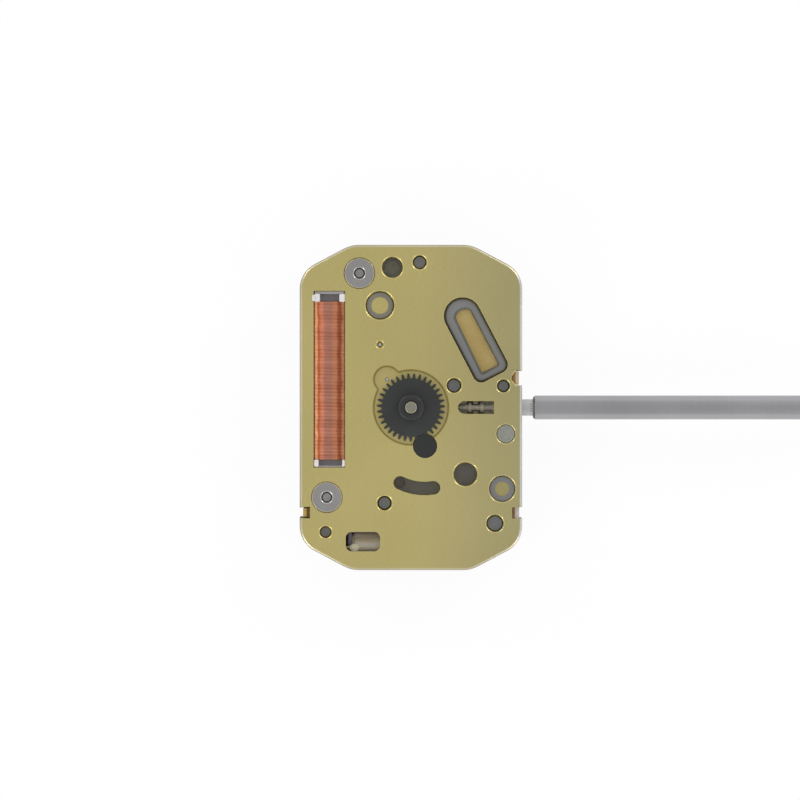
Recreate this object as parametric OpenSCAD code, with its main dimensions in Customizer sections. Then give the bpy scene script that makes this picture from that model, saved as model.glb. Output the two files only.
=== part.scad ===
// Two-hand quartz watch movement for a small dress watch.
// Origin: the hand axis where it meets the dial side of the main plate.
// +Z points to the dial, +X runs out along the stem to 3 o'clock, +Y points to 12 o'clock.

/* [Main plate] */
// Width of the plate across 9 and 3 o'clock
plate_w = 9.14; // [9.10:0.01:9.30]
// Length of the plate across 12 and 6 o'clock
plate_l = 13.40; // [13.34:0.01:13.60]
// Thickness of the plate
plate_t = 0.60; // [0.58:0.01:0.66]
// Straight length left at the 12 and 6 o'clock ends
end_flat = 4.96; // [4.80:0.02:5.20]
// Slope of the cut corners in degrees
corner_slope = 28; // [27:0.5:30]
// Radius between a cut corner and the straight side
corner_r = 1.12; // [1.00:0.02:1.20]
// Radius between a cut corner and the 12 or 6 o'clock end
end_r = 1.30; // [1.00:0.05:1.50]
// Depth of the recesses for the hour wheel and the third wheel pivot
dial_recess_d = 0.22; // [0.20:0.01:0.24]
// Radius of the recess round the hour wheel
centre_recess_r = 1.55; // [1.50:0.01:1.60]
// Radius of the recess round the third wheel pivot
third_recess_r = 0.55; // [0.50:0.01:0.60]
// Depth of the motion work recess in the plate's underside
under_recess_d = 0.24; // [0.22:0.01:0.25]
// Radius of the dial foot hole near 12 o'clock
foot_hole_12_r = 0.42; // [0.38:0.01:0.44]
// Radius of the dial foot hole near 5 o'clock
foot_hole_5_r = 0.48; // [0.42:0.01:0.50]
// Width of the small bevels round the holes
edge_bevel = 0.05; // [0.03:0.01:0.07]
// Width of the notches in the plate's sides
notch_w = 0.47; // [0.44:0.01:0.50]
// Depth of the notches
notch_d = 0.40; // [0.36:0.01:0.42]
// Width of the coil window
coil_window_w = 1.30; // [1.28:0.01:1.34]
// Length of the coil window
coil_window_l = 7.30; // [7.28:0.01:7.40]
// Width of the slot over the stem
stem_slot_w = 0.53; // [0.50:0.01:0.60]
// Length of the window over the quartz can
can_window_l = 1.42; // [1.30:0.01:1.50]
// Width of the window over the quartz can
can_window_w = 0.81; // [0.70:0.01:0.90]
// Width of the slanted window
slant_window_w = 1.54; // [1.46:0.02:1.60]
// Half the width of the curved slot
arc_slot_half_w = 0.28; // [0.24:0.01:0.30]

/* [Frame] */
// How far the plastic frame stands out past the plate
frame_proud = 0.04; // [0.02:0.01:0.06]
// Height of the plastic frame under the plate
frame_h = 1.90; // [1.88:0.01:1.96]
// Wall of the frame round its back recess
frame_wall = 0.35; // [0.32:0.01:0.38]
// Thickness of the frame floor over the cell and the setting work
floor_t = 0.16; // [0.14:0.01:0.17]
// Width of the raised band in the slanted window
band_w = 0.35; // [0.30:0.01:0.38]
// Wall of the cup round the cell
cup_wall = 0.12; // [0.10:0.01:0.13]
// Radius of the brass rivet
rivet_r = 0.30; // [0.26:0.01:0.34]

/* [Coil] */
// Width of the copper winding
winding_w = 1.23; // [1.16:0.01:1.26]
// Height of the copper winding
winding_h = 1.30; // [1.20:0.01:1.34]
// Length of the copper winding
winding_l = 6.53; // [6.40:0.01:6.55]
// Width of the flat on top of the winding
winding_flat = 0.86; // [0.80:0.01:0.92]
// Height of the slopes beside that flat
winding_slope_h = 0.26; // [0.22:0.01:0.30]
// Turns drawn in the outer layer of wire
outer_turns = 12; // [10:1:12]
// Thickness of one drawn turn
turn_d = 0.10; // [0.08:0.01:0.11]
// Width of the coil core
core_w = 0.80; // [0.70:0.02:0.86]
// Thickness of the coil core
core_t = 0.30; // [0.26:0.01:0.31]
// Length of the end block towards 12 o'clock
end_block_12_l = 0.40; // [0.34:0.01:0.42]
// Length of the end block towards 6 o'clock
end_block_6_l = 0.31; // [0.26:0.01:0.32]
// Radius of the pillar heads in the dial face
pillar_head_r = 0.64; // [0.60:0.01:0.66]
// Thickness of the pillar heads
pillar_head_t = 0.24; // [0.20:0.01:0.28]
// Radius of the coil screws
coil_screw_r = 0.17; // [0.15:0.01:0.18]

/* [Motor and train] */
// Radius of the rotor magnet
magnet_r = 0.52; // [0.48:0.01:0.54]
// Radial gap between the magnet and the stator
air_gap = 0.10; // [0.08:0.01:0.12]
// Thickness of the stator
stator_t = 0.30; // [0.26:0.01:0.32]
// Radius of the plate's hole round the rotor bearing
rotor_hole_r = 0.58; // [0.54:0.01:0.62]
// Radius of the brass rotor bush
rotor_bush_r = 0.35; // [0.30:0.01:0.38]
// Thickness of the train wheels
wheel_t = 0.14; // [0.12:0.01:0.15]
// Radius of the train pivots
pivot_r = 0.06; // [0.05:0.005:0.065]
// Radius of the arbors between their pivots
arbor_r = 0.09; // [0.08:0.005:0.10]
// Radius of the shaft that carries the centre wheel
centre_shaft_r = 0.16; // [0.14:0.005:0.17]

/* [Motion work] */
// Thickness of the hour wheel's rim
hour_wheel_t = 0.18; // [0.16:0.01:0.19]
// Outer radius of the hour pipe
hour_pipe_r = 0.52; // [0.50:0.01:0.54]
// Height of the hour pipe over the dial face
hour_pipe_h = 0.75; // [0.70:0.01:0.90]
// Radius of the minute post
minute_post_r = 0.25; // [0.23:0.005:0.26]
// Height of the minute post over the dial face
minute_post_h = 1.25; // [1.10:0.01:1.40]
// Running gap between the minute post and the hour pipe
pipe_gap = 0.03; // [0.02:0.005:0.05]
// Radius of the hole for the minute pinion
minute_hole_r = 0.50; // [0.47:0.01:0.52]
// Radius of the posts that carry the minute wheel and the middle setting wheel
wheel_post_r = 0.13; // [0.11:0.005:0.14]

/* [Stem and setting work] */
// Depth of the stem axis under the dial face
stem_depth = 1.00; // [1.00:0.01:1.04]
// Outer radius of the stem's crown thread
stem_thread_r = 0.50; // [0.44:0.01:0.50]
// Radius of the stem in the frame
stem_r = 0.34; // [0.32:0.005:0.345]
// Distance from the hand axis to the outer end of the stem
stem_reach = 17.5; // [14:0.1:20]
// Radius of the two collars on the stem
stem_collar_r = 0.225; // [0.20:0.005:0.235]
// Radius of the stem between its collars
stem_neck_r = 0.12; // [0.10:0.005:0.13]
// Side of the stem's square
stem_square = 0.26; // [0.24:0.005:0.27]
// How far the stem pulls out
stem_travel = 0.45; // [0.40:0.01:0.46]
// Outward shift of the clutch for the full pull
clutch_travel = 0.35; // [0.30:0.01:0.36]
// Radius of the clutch teeth
clutch_r = 0.37; // [0.34:0.005:0.375]
// Thickness of the setting levers
lever_t = 0.13; // [0.11:0.01:0.14]
// Radius of the posts that guide the setting levers
guide_post_r = 0.11; // [0.09:0.005:0.12]
// Radius of the steel stud in the dial face
stud_r = 0.36; // [0.33:0.01:0.38]

/* [Power cell] */
// Diameter of the cell
cell_d = 4.80; // [4.76:0.01:4.82]
// Thickness of the cell
cell_t = 1.65; // [1.60:0.01:1.66]
// Radial gap round the cell
cell_gap = 0.04; // [0.03:0.01:0.05]
// Wall of the cell can
cell_wall = 0.14; // [0.12:0.01:0.16]
// Width of the seal between the can and the cap
seal_w = 0.16; // [0.14:0.01:0.20]
// Height of the cap above the can's rim
cap_rise = 0.14; // [0.12:0.01:0.18]

/* [Circuit and back] */
// Diameter of the quartz can
can_d = 1.10; // [1.04:0.01:1.12]
// Length of the quartz can
can_l = 2.64; // [2.50:0.01:2.70]
// Thickness of the train bridge
bridge_t = 0.30; // [0.28:0.01:0.31]
// Thickness of the circuit board
board_t = 0.15; // [0.13:0.01:0.16]
// Thickness of the circuit chip
chip_t = 0.10; // [0.08:0.01:0.11]
// Thickness of the back cover
cover_t = 0.12; // [0.10:0.01:0.13]
// Radius of the back screw heads
screw_head_r = 0.30; // [0.26:0.01:0.32]
// Radius of the screws
screw_r = 0.15; // [0.13:0.01:0.16]
// Width of the cover hook in the left notch
hook_w = 0.34; // [0.30:0.01:0.36]
// Thickness of the cover hooks
hook_t = 0.10; // [0.08:0.01:0.11]

/* [Hidden] */
$fn = 64;

// Tooth counts: the train makes 60 to 1 from rotor to minute post, the motion work 12 to 1
inter_teeth = 30;
inter_leaves = 8;
third_teeth = 40;
third_leaves = 8;
centre_teeth = 32;
minute_teeth = 48;
minute_leaves = 10;
hour_teeth = 35;
rotor_leaves = inter_teeth * third_teeth * centre_teeth / (60 * inter_leaves * third_leaves);
cannon_leaves = minute_teeth * hour_teeth / (12 * minute_leaves);
setting_mid_teeth = 29;
setting_teeth = 18;

// Places in plan, all measured from the hand axis
hand_axis = [0, 0];
rotor_at = [-1.285, 4.22];
inter_at = [-1.28, 2.60];
third_at = [-0.99, 1.16];
minute_at = [0.58, -1.59];
stud_at = [3.92, -1.09];
pillar_12_at = [-2.13, 5.55];
pillar_6_at = [-3.48, -3.71];
pillars = [pillar_12_at, pillar_6_at];
foot_12_at = [-0.77, 5.79];
foot_5_at = [2.25, -2.76];
rivet_at = [3.77, -3.36];
lever_pivot_at = [1.78, 0.91];
cell_at = [2.00, -3.40];
coil_at = [-3.375, 1.115];
coil_window_at = [-3.375, 1.17];
can_window_at = [-1.99, -5.545];
can_window_corner = 0.25;
stem_slot_x = 1.94;
stem_slot_end = 3.43;
slant_at = [2.13, 3.78];
slant_turn = -62.5;
slant_l = 2.83;
slant_corner = 0.35;
arc_centre = [0.56, -1.08];
arc_r = 2.27;
arc_from = -116.4;
arc_to = -80.6;
// Small plain holes: place, radius
plain_holes = [[0.36, 6.00, 0.275], [1.78, 0.91, 0.29], [3.82, 0.89, 0.25], [-1.095, -3.95, 0.29],
               [-3.53, -5.15, 0.236], [3.47, -4.79, 0.34]];
notch_left_y = -4.345;
notch_low_y = -4.36;
notch_high_y = 1.22;
notch_high_w = 0.66;
hook_high_w = 0.54;
can_start = [-2.44, -5.75];
chip_at = [2.25, 3.20];
chip_size = [1.3, 1.2];
bridge_screws_at = [[1.05, 5.45], [3.95, 2.75]];
cover_screws_at = [[1.55, 5.95], [-1.95, -4.45]];
slide_post_at = [2.68, 0.90];
yoke_post_at = [3.55, 0.95];
jumper_foot_at = [1.72, 1.40];

// Clearances: gap lies between parts that move or nearly touch, skin makes cuts run clear
gap = 0.03;
slack = 0.02;
skin = 0.01;

// Levels, downwards from the dial face
z_under = -plate_t;
z_floor = z_under - floor_t;
z_back = z_under - frame_h;
z_core = z_under - gap;
z_stator_top = z_core - core_t;
z_stator = z_stator_top - stator_t;
z_magnet_top = z_stator_top + 0.06;
z_magnet = z_stator - gap;
z_coil_mid = z_core - core_t / 2;
z_centre_wheel = z_under - 0.08 - wheel_t;
z_third_wheel = z_centre_wheel - 0.16 - wheel_t;
z_inter_wheel = z_third_wheel - 0.17 - wheel_t;
z_bridge_top = z_under - 0.95;
z_bridge = z_bridge_top - bridge_t;
z_pivot_low = z_bridge + 0.06;
z_board = z_bridge - board_t;
z_cover_top = z_board - chip_t - slack;
z_cover = z_cover_top - cover_t;
z_motion_top = z_under + under_recess_d;
z_motion = z_under + 0.05;
z_motion_wheel_top = z_motion_top - slack;
z_stem = -stem_depth;
z_slide = z_bridge_top + slack;
z_can = z_bridge + can_d / 2;
z_cell = z_back + gap;
cell_r = cell_d / 2;
pocket_r = cell_r + cell_gap;
cup_r = pocket_r + cup_wall;
board_inset = frame_wall - frame_proud + 0.06;

// Gear sizes worked out from the distances between the arbors
function dist(a, b) = norm(b - a);
function heading(a, b) = atan2(b[1] - a[1], b[0] - a[0]);
rotor_m = 2 * dist(rotor_at, inter_at) / (rotor_leaves + inter_teeth);
inter_m = 2 * dist(inter_at, third_at) / (inter_leaves + third_teeth);
third_m = 2 * dist(third_at, hand_axis) / (third_leaves + centre_teeth);
cannon_m = 2 * dist(hand_axis, minute_at) / (cannon_leaves + minute_teeth);
hour_m = 2 * dist(hand_axis, minute_at) / (minute_leaves + hour_teeth);
train_add = 0.95;
hour_add = 1.2;
hour_ded = 1.45;
function tip_r(n, m) = m * (n / 2 + train_add);
cannon_tip_r = tip_r(cannon_leaves, cannon_m);
minute_tip_r = tip_r(minute_teeth, cannon_m);
mid_tip_r = tip_r(setting_mid_teeth, cannon_m);
setting_tip_r = tip_r(setting_teeth, cannon_m);
centre_tip_r = tip_r(centre_teeth, third_m);
third_tip_r = tip_r(third_teeth, inter_m);
// The middle setting wheel stands where it meets both the minute wheel and the setting wheel
mid_to_minute = cannon_m * (minute_teeth + setting_mid_teeth) / 2;
mid_to_stud = cannon_m * (setting_teeth + setting_mid_teeth) / 2;
stud_dist = dist(minute_at, stud_at);
mid_along = (mid_to_minute ^ 2 - mid_to_stud ^ 2 + stud_dist ^ 2) / (2 * stud_dist);
mid_side = sqrt(mid_to_minute ^ 2 - mid_along ^ 2);
stud_dir = (stud_at - minute_at) / stud_dist;
setting_mid_at = minute_at + mid_along * stud_dir + mid_side * [-stud_dir[1], stud_dir[0]];

// Lengths along the stem at rest
nose_x = stem_slot_x;
collar_in_x = 2.40;
collar_in_w = 0.11;
neck_x = collar_in_x + collar_in_w;
collar_out_x = 2.88;
collar_out_w = 0.15;
shaft_x = collar_out_x + collar_out_w;
square_x = 3.36;
journal_x = 4.02;
thread_x = 5.07;
clutch_x = 3.45;
clutch_tooth_w = 0.13;
clutch_neck_w = 0.14;
clutch_collar_w = 0.13;
clutch_neck_x = clutch_x + clutch_tooth_w;
clutch_collar_x = clutch_neck_x + clutch_neck_w;
clutch_neck_r = 0.24;
stem_room = [1.90, clutch_collar_x + clutch_collar_w + clutch_travel + gap];
setting_room = [1.45, 4.32, -0.60, 1.50];

// Outline of the movement, drawn in by an inset all round
corner_y = plate_l / 2 - corner_r * cos(corner_slope)
    - (plate_w / 2 - corner_r + corner_r * sin(corner_slope) - end_flat / 2) * tan(corner_slope);
// Points of an arc about c from angle a0 to a1 in n steps
function arc_pts(c, r, a0, a1, n) = [for (k = [0:n]) let (a = a0 + k * (a1 - a0) / n)
    [c[0] + r * cos(a), c[1] + r * sin(a)]];
function corner_pts(inset) = concat(
    arc_pts([plate_w / 2 - corner_r, corner_y], corner_r - inset, 0, 90 - corner_slope, 8),
    arc_pts([end_flat / 2 - end_r * tan(corner_slope / 2), plate_l / 2 - end_r],
        end_r - inset, 90 - corner_slope, 90, 4));
function turned(pts) = [for (k = [len(pts) - 1:-1:0]) pts[k]];
function scaled(pts, sx, sy) = [for (p = pts) [p[0] * sx, p[1] * sy]];
function outline(inset) = let (c = corner_pts(inset)) concat(
    c, turned(scaled(c, -1, 1)), scaled(c, -1, -1), turned(scaled(c, 1, -1)));

module slab(z0, z1) { translate([0, 0, z0]) linear_extrude(z1 - z0) children(); }
module at(p) { translate([p[0], p[1]]) children(); }
module disc(p, r, z0, z1) { translate([p[0], p[1], z0]) cylinder(h = z1 - z0, r = r); }
module cone(p, r0, r1, z0, z1) { translate([p[0], p[1], z0]) cylinder(h = z1 - z0, r1 = r0, r2 = r1); }
module block(x0, x1, y0, y1, z0, z1) { translate([x0, y0, z0]) cube([x1 - x0, y1 - y0, z1 - z0]); }
module along_stem(x0, x1, r0, r1) {
    translate([x0, 0, z_stem]) rotate([0, 90, 0]) cylinder(h = x1 - x0, r1 = r0, r2 = r1);
}
module bevelled_hole(p, r, z0) {
    disc(p, r, z0, skin);
    cone(p, r, r + edge_bevel + skin, -edge_bevel, skin);
}
// Straight bar with round ends between two points
module link(a, b, r) {
    at(a) circle(r);
    at(b) circle(r);
    at(a) rotate(heading(a, b)) translate([0, -r]) square([dist(a, b), 2 * r]);
}
// Flat gear: each tooth has a foot, a pitch point and a tip on either side
tooth_side = [[-0.30, -1], [-0.22, 0], [-0.11, 1], [0.11, 1], [0.22, 0], [0.30, -1]];
function gear_pts(n, rp, add, ded) = [for (k = [0:n - 1], q = tooth_side)
    let (a = (k + q[0]) * 360 / n, r = rp + (q[1] > 0 ? add : q[1] < 0 ? -ded : 0)) [r * cos(a), r * sin(a)]];
module gear(n, m, dir, add = train_add, ded = 1.2) {
    rotate(dir) polygon(gear_pts(n, m * n / 2, m * add, m * ded));
}
// Slanted window and what stands in it, drawn in by an inset
module slant_shape(inset) {
    r = slant_window_w / 2 - inset;
    c = max(0.06, slant_corner - inset);
    at(slant_at) rotate(slant_turn) {
        circle(r);
        translate([0, -r]) square([slant_l - inset - c, 2 * r]);
        for (s = [-1, 1]) translate([slant_l - inset - c, s * (r - c)]) circle(c);
        translate([0, c - r]) square([slant_l - inset, 2 * (r - c)]);
    }
}
module arc_slot() {
    at(arc_centre) {
        difference() {
            circle(arc_r + arc_slot_half_w);
            circle(arc_r - arc_slot_half_w);
            rotate(arc_to) translate([-2 * arc_r, 0]) square(4 * arc_r);
            rotate(arc_from + 180) translate([-2 * arc_r, 0]) square(4 * arc_r);
        }
        for (a = [arc_from, arc_to]) translate(arc_r * [cos(a), sin(a)]) circle(arc_slot_half_w);
    }
}
module can_window() {
    r = can_window_corner;
    at(can_window_at) {
        for (x = [-1, 1], y = [-1, 1])
            translate([x * (can_window_l / 2 - r), y * (can_window_w / 2 - r)]) circle(r);
        square([can_window_l - 2 * r, can_window_w], center = true);
        square([can_window_l, can_window_w - 2 * r], center = true);
    }
}
module stem_slot() {
    r = stem_slot_w / 2;
    translate([stem_slot_x + r, 0]) circle(r);
    translate([stem_slot_x + r, -r]) square([stem_slot_end - stem_slot_x - r, 2 * r]);
}
module notch(side, y, w, depth) {
    x = plate_w / 2 - depth;
    translate([side > 0 ? x : -x - 1, y - w / 2]) square([1, w]);
}

module main_plate() {
    color("darkkhaki") difference() {
        slab(z_under, 0) difference() {
            polygon(outline(0));
            notch(-1, notch_left_y, notch_w, notch_d);
            notch(1, notch_low_y, notch_w, notch_d);
            notch(1, notch_high_y, notch_high_w, notch_d);
            at(coil_window_at) square([coil_window_w, coil_window_l], center = true);
            slant_shape(0);
            arc_slot();
            stem_slot();
            can_window();
        }
        // Recesses of the dial face
        disc(hand_axis, centre_recess_r, -dial_recess_d, skin);
        disc(third_at, third_recess_r, -dial_recess_d, skin);
        disc(hand_axis, minute_post_r + 0.05, z_under - skin, skin);
        disc(minute_at, minute_hole_r, z_motion_top - skin, skin);
        // Recesses of the underside for the motion work and the setting wheels
        disc(hand_axis, cannon_tip_r + 0.08, z_under - skin, z_motion_top);
        disc(minute_at, minute_tip_r + 0.05, z_under - skin, z_motion_top);
        disc(setting_mid_at, mid_tip_r + 0.05, z_under - skin, z_motion_top);
        disc(stud_at, setting_tip_r + 0.04, z_under - skin, z_motion_top);
        bevelled_hole(stud_at, stud_r + skin, z_motion_top - skin);
        bevelled_hole(foot_12_at, foot_hole_12_r, z_under - skin);
        bevelled_hole(foot_5_at, foot_hole_5_r, z_under - skin);
        for (h = plain_holes) bevelled_hole(h, h[2], z_under - skin);
        bevelled_hole(rotor_at, rotor_hole_r, z_under - skin);
        bevelled_hole(rivet_at, rivet_hole_r, z_under - skin);
        for (p = [inter_at, third_at]) disc(p, pivot_r + slack, z_under - skin, skin);
        cone(inter_at, pivot_r, pivot_r + pivot_sink, -pivot_sink, skin);
        for (p = pillars) {
            disc(p, pillar_head_r + skin, -pillar_head_t - skin, skin);
            disc(p, pillar_shank_r + skin, z_under - skin, 0);
        }
    }
}
pivot_sink = 0.13;
// Gap in the cell cup for the positive contact
cup_gap_w = 0.40;
cup_gap_h = 1.30;
rivet_hole_r = 0.53;
pillar_shank_r = 0.41;

// Room in the frame for the coil, the stator and the wheels
module train_room() {
    intersection() {
        polygon(outline(frame_wall - frame_proud));
        difference() {
            union() {
                coil_room = stator_strip_x + 2 * stator_strip_r;
                translate([-plate_w, -2.75]) square([plate_w + coil_room, plate_l]);
                translate([coil_room - slack, third_at[1] - third_tip_r - 0.12]) square([2.70, plate_l]);
                circle(centre_tip_r + 0.12);
            }
            at(cell_at) circle(cup_r);
            // Pad that closes the small hole beside the dial foot
            at(plain_holes[0]) circle(plain_holes[0][2] + 0.14);
        }
    }
}
// How far below the floor and the plate the bridge screws' and the cover screws' holes end
bridge_hole_below = 0.10;
cover_hole_below = 0.25;
module movement_frame() {
    color("slategray") {
        difference() {
            slab(z_back, z_under) polygon(outline(-frame_proud));
            // Back recess for the circuit and its cover
            slab(z_back - skin, z_bridge) difference() {
                polygon(outline(frame_wall - frame_proud));
                at(cell_at) circle(cup_r);
            }
            // Seat of the train bridge
            slab(z_bridge - skin, z_bridge_top) bridge_shape(slack);
            slab(z_bridge_top - skin, z_under + skin) train_room();
            // Room for the lower end of the coil and its screw
            slab(z_bridge - skin, z_under + skin) {
                at(pillar_6_at) circle(0.74);
                link([coil_at[0], -2.6], pillar_6_at, 0.55);
                link([stator_strip_x, -2.6], pillar_6_at + [0.3, 0.2], 0.35);
            }
            // Setting work
            slab(z_bridge_top - skin, z_floor) difference() {
                translate([setting_room[0], setting_room[2]])
                    square([setting_room[1] - setting_room[0], setting_room[3] - setting_room[2]]);
                at(cell_at) circle(cup_r);
            }
            slab(z_floor - skin, z_under + skin) {
                translate([stem_room[0], -clutch_r - 0.05])
                    square([stem_room[1] - stem_room[0], 2 * clutch_r + 0.10]);
                can_window();
            }
            // Cell pocket, open at the back
            disc(cell_at, pocket_r, z_back - skin, z_floor);
            // Quartz can and its leads
            block(can_start[0] - 0.26, can_start[0] + can_l + lead_l + 0.05, can_start[1] - can_d / 2 - slack,
                  can_start[1] + can_d / 2 + slack, z_bridge - skin, z_bridge + can_d + gap);
            along_stem(journal_x - 0.05, plate_w, stem_r + slack, stem_r + slack);
            slab(z_bridge_top - skin, z_under + skin) slant_shape(band_w);
            // Hook passages
            slab(z_back - skin, z_under + skin) {
                notch(-1, notch_left_y, hook_w + 0.06, 0.33);
                notch(1, notch_high_y, hook_high_w + 0.06, 0.33);
                notch(1, notch_low_y, notch_w, 0.08);
            }
            // Blind hole under the left end of the curved slot
            disc(arc_centre + arc_r * [cos(arc_from), sin(arc_from)], 0.22, z_under - 0.12, z_under + skin);
            // Passage of the negative contact
            for (b = [[pocket_side_x, z_floor - leaf_room], [neg_x[0] + 0.14, z_bridge - skin]])
                block(neg_x[0] - slack, b[0], neg_y[0] - leaf_room, neg_y[1] + leaf_room, b[1], z_floor);
            // Gap in the cup wall for the positive contact
            at(cell_at) translate([0, 0, z_back - skin]) rotate(pos_from - 4)
                rotate_extrude(angle = pos_angle + 8) translate([cell_r, 0]) square([cup_gap_w, cup_gap_h]);
            for (p = bridge_screws_at)
                disc(p, screw_r + skin, z_bridge_top - skin, z_floor - bridge_hole_below);
            for (p = cover_screws_at)
                disc(p, screw_r + skin, z_bridge - skin, z_under - cover_hole_below);
        }
        // Raised band in the slanted window
        slab(z_under - skin, -0.12) difference() {
            slant_shape(slack);
            slant_shape(band_w);
        }
        // Ring round the brass rivet
        difference() {
            disc(rivet_at, rivet_hole_r - slack, z_under - skin, -0.10);
            disc(rivet_at, rivet_r, z_under, skin);
        }
        disc(minute_at, wheel_post_r, z_under - skin, -0.08);
        disc(setting_mid_at, wheel_post_r, z_under - skin, z_motion_wheel_top);
        disc(yoke_post_at, guide_post_r, z_stem - lever_t / 2 - 0.06, z_floor + skin);
    }
}
module frame_rivet() { color("gold") disc(rivet_at, rivet_r, z_under, -0.14); }

module coil_pillars() {
    color("thistle") for (p = pillars) difference() {
        union() {
            disc(p, pillar_head_r, -pillar_head_t, -skin);
            disc(p, pillar_shank_r, z_core, -pillar_head_t + skin);
        }
        disc(p, coil_screw_r + skin, z_core - skin, skin);
        cone(p, coil_screw_r, coil_screw_r + 0.10, -0.12, skin);
    }
}
// Driver slot across a screw head whose face is at height z
slot_w = 0.08;
slot_depth = 0.07;
slot_reach = 0.50;
module screw_slot(p, z) {
    block(p[0] - slot_reach, p[0] + slot_reach, p[1] - slot_w / 2, p[1] + slot_w / 2, z - 0.12, z + slot_depth);
}
coil_screw_head_r = 0.38;
coil_screw_head_t = 0.18;
coil_screw_end = -0.05;
module coil_screws() {
    color("silver") for (p = pillars) difference() {
        union() {
            disc(p, coil_screw_r, z_stator, coil_screw_end);
            disc(p, coil_screw_head_r, z_stator - coil_screw_head_t, z_stator);
        }
        screw_slot(p, z_stator - coil_screw_head_t);
    }
}
// Ends of the core past the winding, where the straight bar turns to the pillars
core_past_6 = 0.80;
core_past_12 = 0.70;
// Radius of the eyes through which the pillars hold the core
core_eye_r = 0.58;
core_ends = [coil_at[1] - winding_l / 2 - core_past_6, coil_at[1] + winding_l / 2 + core_past_12];
module coil_core() {
    color("dimgray") difference() {
        slab(z_stator_top, z_core) {
            translate([coil_at[0] - core_w / 2, core_ends[0]]) square([core_w, core_ends[1] - core_ends[0]]);
            link([coil_at[0], core_ends[1]], pillar_12_at, core_w / 2);
            link([coil_at[0], core_ends[0]], pillar_6_at, core_w / 2);
            for (p = pillars) at(p) circle(core_eye_r);
        }
        for (p = pillars) disc(p, coil_screw_r + skin, z_stator_top - skin, z_core + skin);
    }
}
// Section of the winding across the coil: flat on top, drawn in at its corners
function winding_section(grow) =
    let (w = winding_w / 2 + grow, h = winding_h / 2 + grow,
         f = winding_flat / 2 + grow / 2, s = winding_slope_h)
    [[w, h - s], [f, h], [-f, h], [-w, h - s], [-w, s - h], [-f, -h], [f, -h], [w, s - h]];
winding_y = [coil_at[1] - winding_l / 2, coil_at[1] + winding_l / 2];
module core_slot(y0, y1) {
    block(coil_at[0] - core_w / 2 - skin, coil_at[0] + core_w / 2 + skin, y0 - skin, y1 + skin,
          z_stator_top - skin, z_core + skin);
}
module coil_winding() {
    color("peru") difference() {
        translate([coil_at[0], winding_y[1], z_coil_mid]) rotate([90, 0, 0])
            linear_extrude(winding_l) polygon(winding_section(-turn_d - gap));
        core_slot(winding_y[0], winding_y[1]);
    }
}
// Outer layer of wire: one unbroken strand that climbs along the coil
strand_r = turn_d / 2;
strand_section = winding_section(-strand_r - skin);
turn_pitch = (winding_l - 2 * turn_d) / outer_turns;
rings_per_turn = 24;
strand_rings = outer_turns * rings_per_turn;
function section_walk(t) = let (n = len(strand_section), u = t * n, i = floor(u) % n, f = u - floor(u),
    a = strand_section[i], b = strand_section[(i + 1) % n]) a + (b - a) * f;
function strand_point(k) = let (t = k / rings_per_turn, s = section_walk(t - floor(t)))
    [coil_at[0] + s[0], winding_y[0] + turn_d + t * turn_pitch, z_coil_mid + s[1]];
strand_pts = [for (k = [0:strand_rings]) strand_point(k)];
function least(a) = min([for (v = a) v]);
strand_gap = least([for (k = [0:strand_rings - rings_per_turn])
    norm(strand_pts[k + rings_per_turn] - strand_pts[k])]) - turn_d;
echo("least gap of the drawn turns", strand_gap);
function unit(v) = v / norm(v);
function strand_ring(k) = let (
    a = strand_pts[max(0, k - 1)], b = strand_pts[min(strand_rings, k + 1)], d = unit(b - a),
    side = unit(cross(d, [0, 1, 0])), up = cross(side, d))
    [for (q = [0:5]) strand_pts[k] + strand_r * (cos(60 * q) * side + sin(60 * q) * up)];
module winding_turns() {
    pts = [for (k = [0:strand_rings]) each strand_ring(k)];
    walls = [for (k = [0:strand_rings - 1], q = [0:5]) let (a = 6 * k + q, b = 6 * k + (q + 1) % 6)
        each [[a, a + 6, b], [b, a + 6, b + 6]]];
    last = 6 * strand_rings;
    caps = [for (q = [1:4]) each [[0, q, q + 1], [last, last + q + 1, last + q]]];
    color("peru") polyhedron(pts, concat(walls, caps));
}
end_blocks = [[winding_y[0] - end_block_6_l, winding_y[0]], [winding_y[1], winding_y[1] + end_block_12_l]];
end_block_half_w = winding_w / 2 - 0.015;
end_block_top = z_coil_mid + winding_h / 2 - 0.07;
module coil_end_blocks() {
    color("dimgray") for (e = end_blocks) difference() {
        block(coil_at[0] - end_block_half_w, coil_at[0] + end_block_half_w, e[0], e[1],
              z_coil_mid - winding_h / 2 + 0.03, end_block_top);
        core_slot(e[0], e[1]);
    }
}
module coil_corner_pads() {
    pad_w = 0.26;
    color("white") for (e = end_blocks, s = [-1, 1])
        translate([coil_at[0] + s * (end_block_half_w - pad_w / 2) - pad_w / 2, e[0] + slack, end_block_top])
            cube([pad_w, e[1] - e[0] - 2 * slack, 0.06]);
}
stator_strip_x = -2.49;
stator_strip_r = 0.17;
module stator() {
    strip = [[stator_strip_x, 3.9], [stator_strip_x, -2.9]];
    color("darkgray") difference() {
        slab(z_stator, z_stator_top) difference() {
            union() {
                for (p = pillars) at(p) circle(0.57);
                at(rotor_at) circle(magnet_r + air_gap + 0.43);
                link(rotor_at, pillar_12_at, 0.45);
                link(strip[0], strip[1], stator_strip_r);
                link(strip[0], rotor_at, stator_strip_r);
                link(strip[1], pillar_6_at, stator_strip_r);
            }
            at(rotor_at) {
                circle(magnet_r + air_gap);
                // Two narrow necks set the rest angle of the rotor
                for (s = [-1, 1]) rotate(35) translate([s * (magnet_r + air_gap + 0.40), 0]) circle(0.16);
            }
        }
        for (p = pillars) disc(p, coil_screw_r + skin, z_stator - skin, z_stator_top + skin);
    }
}
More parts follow.
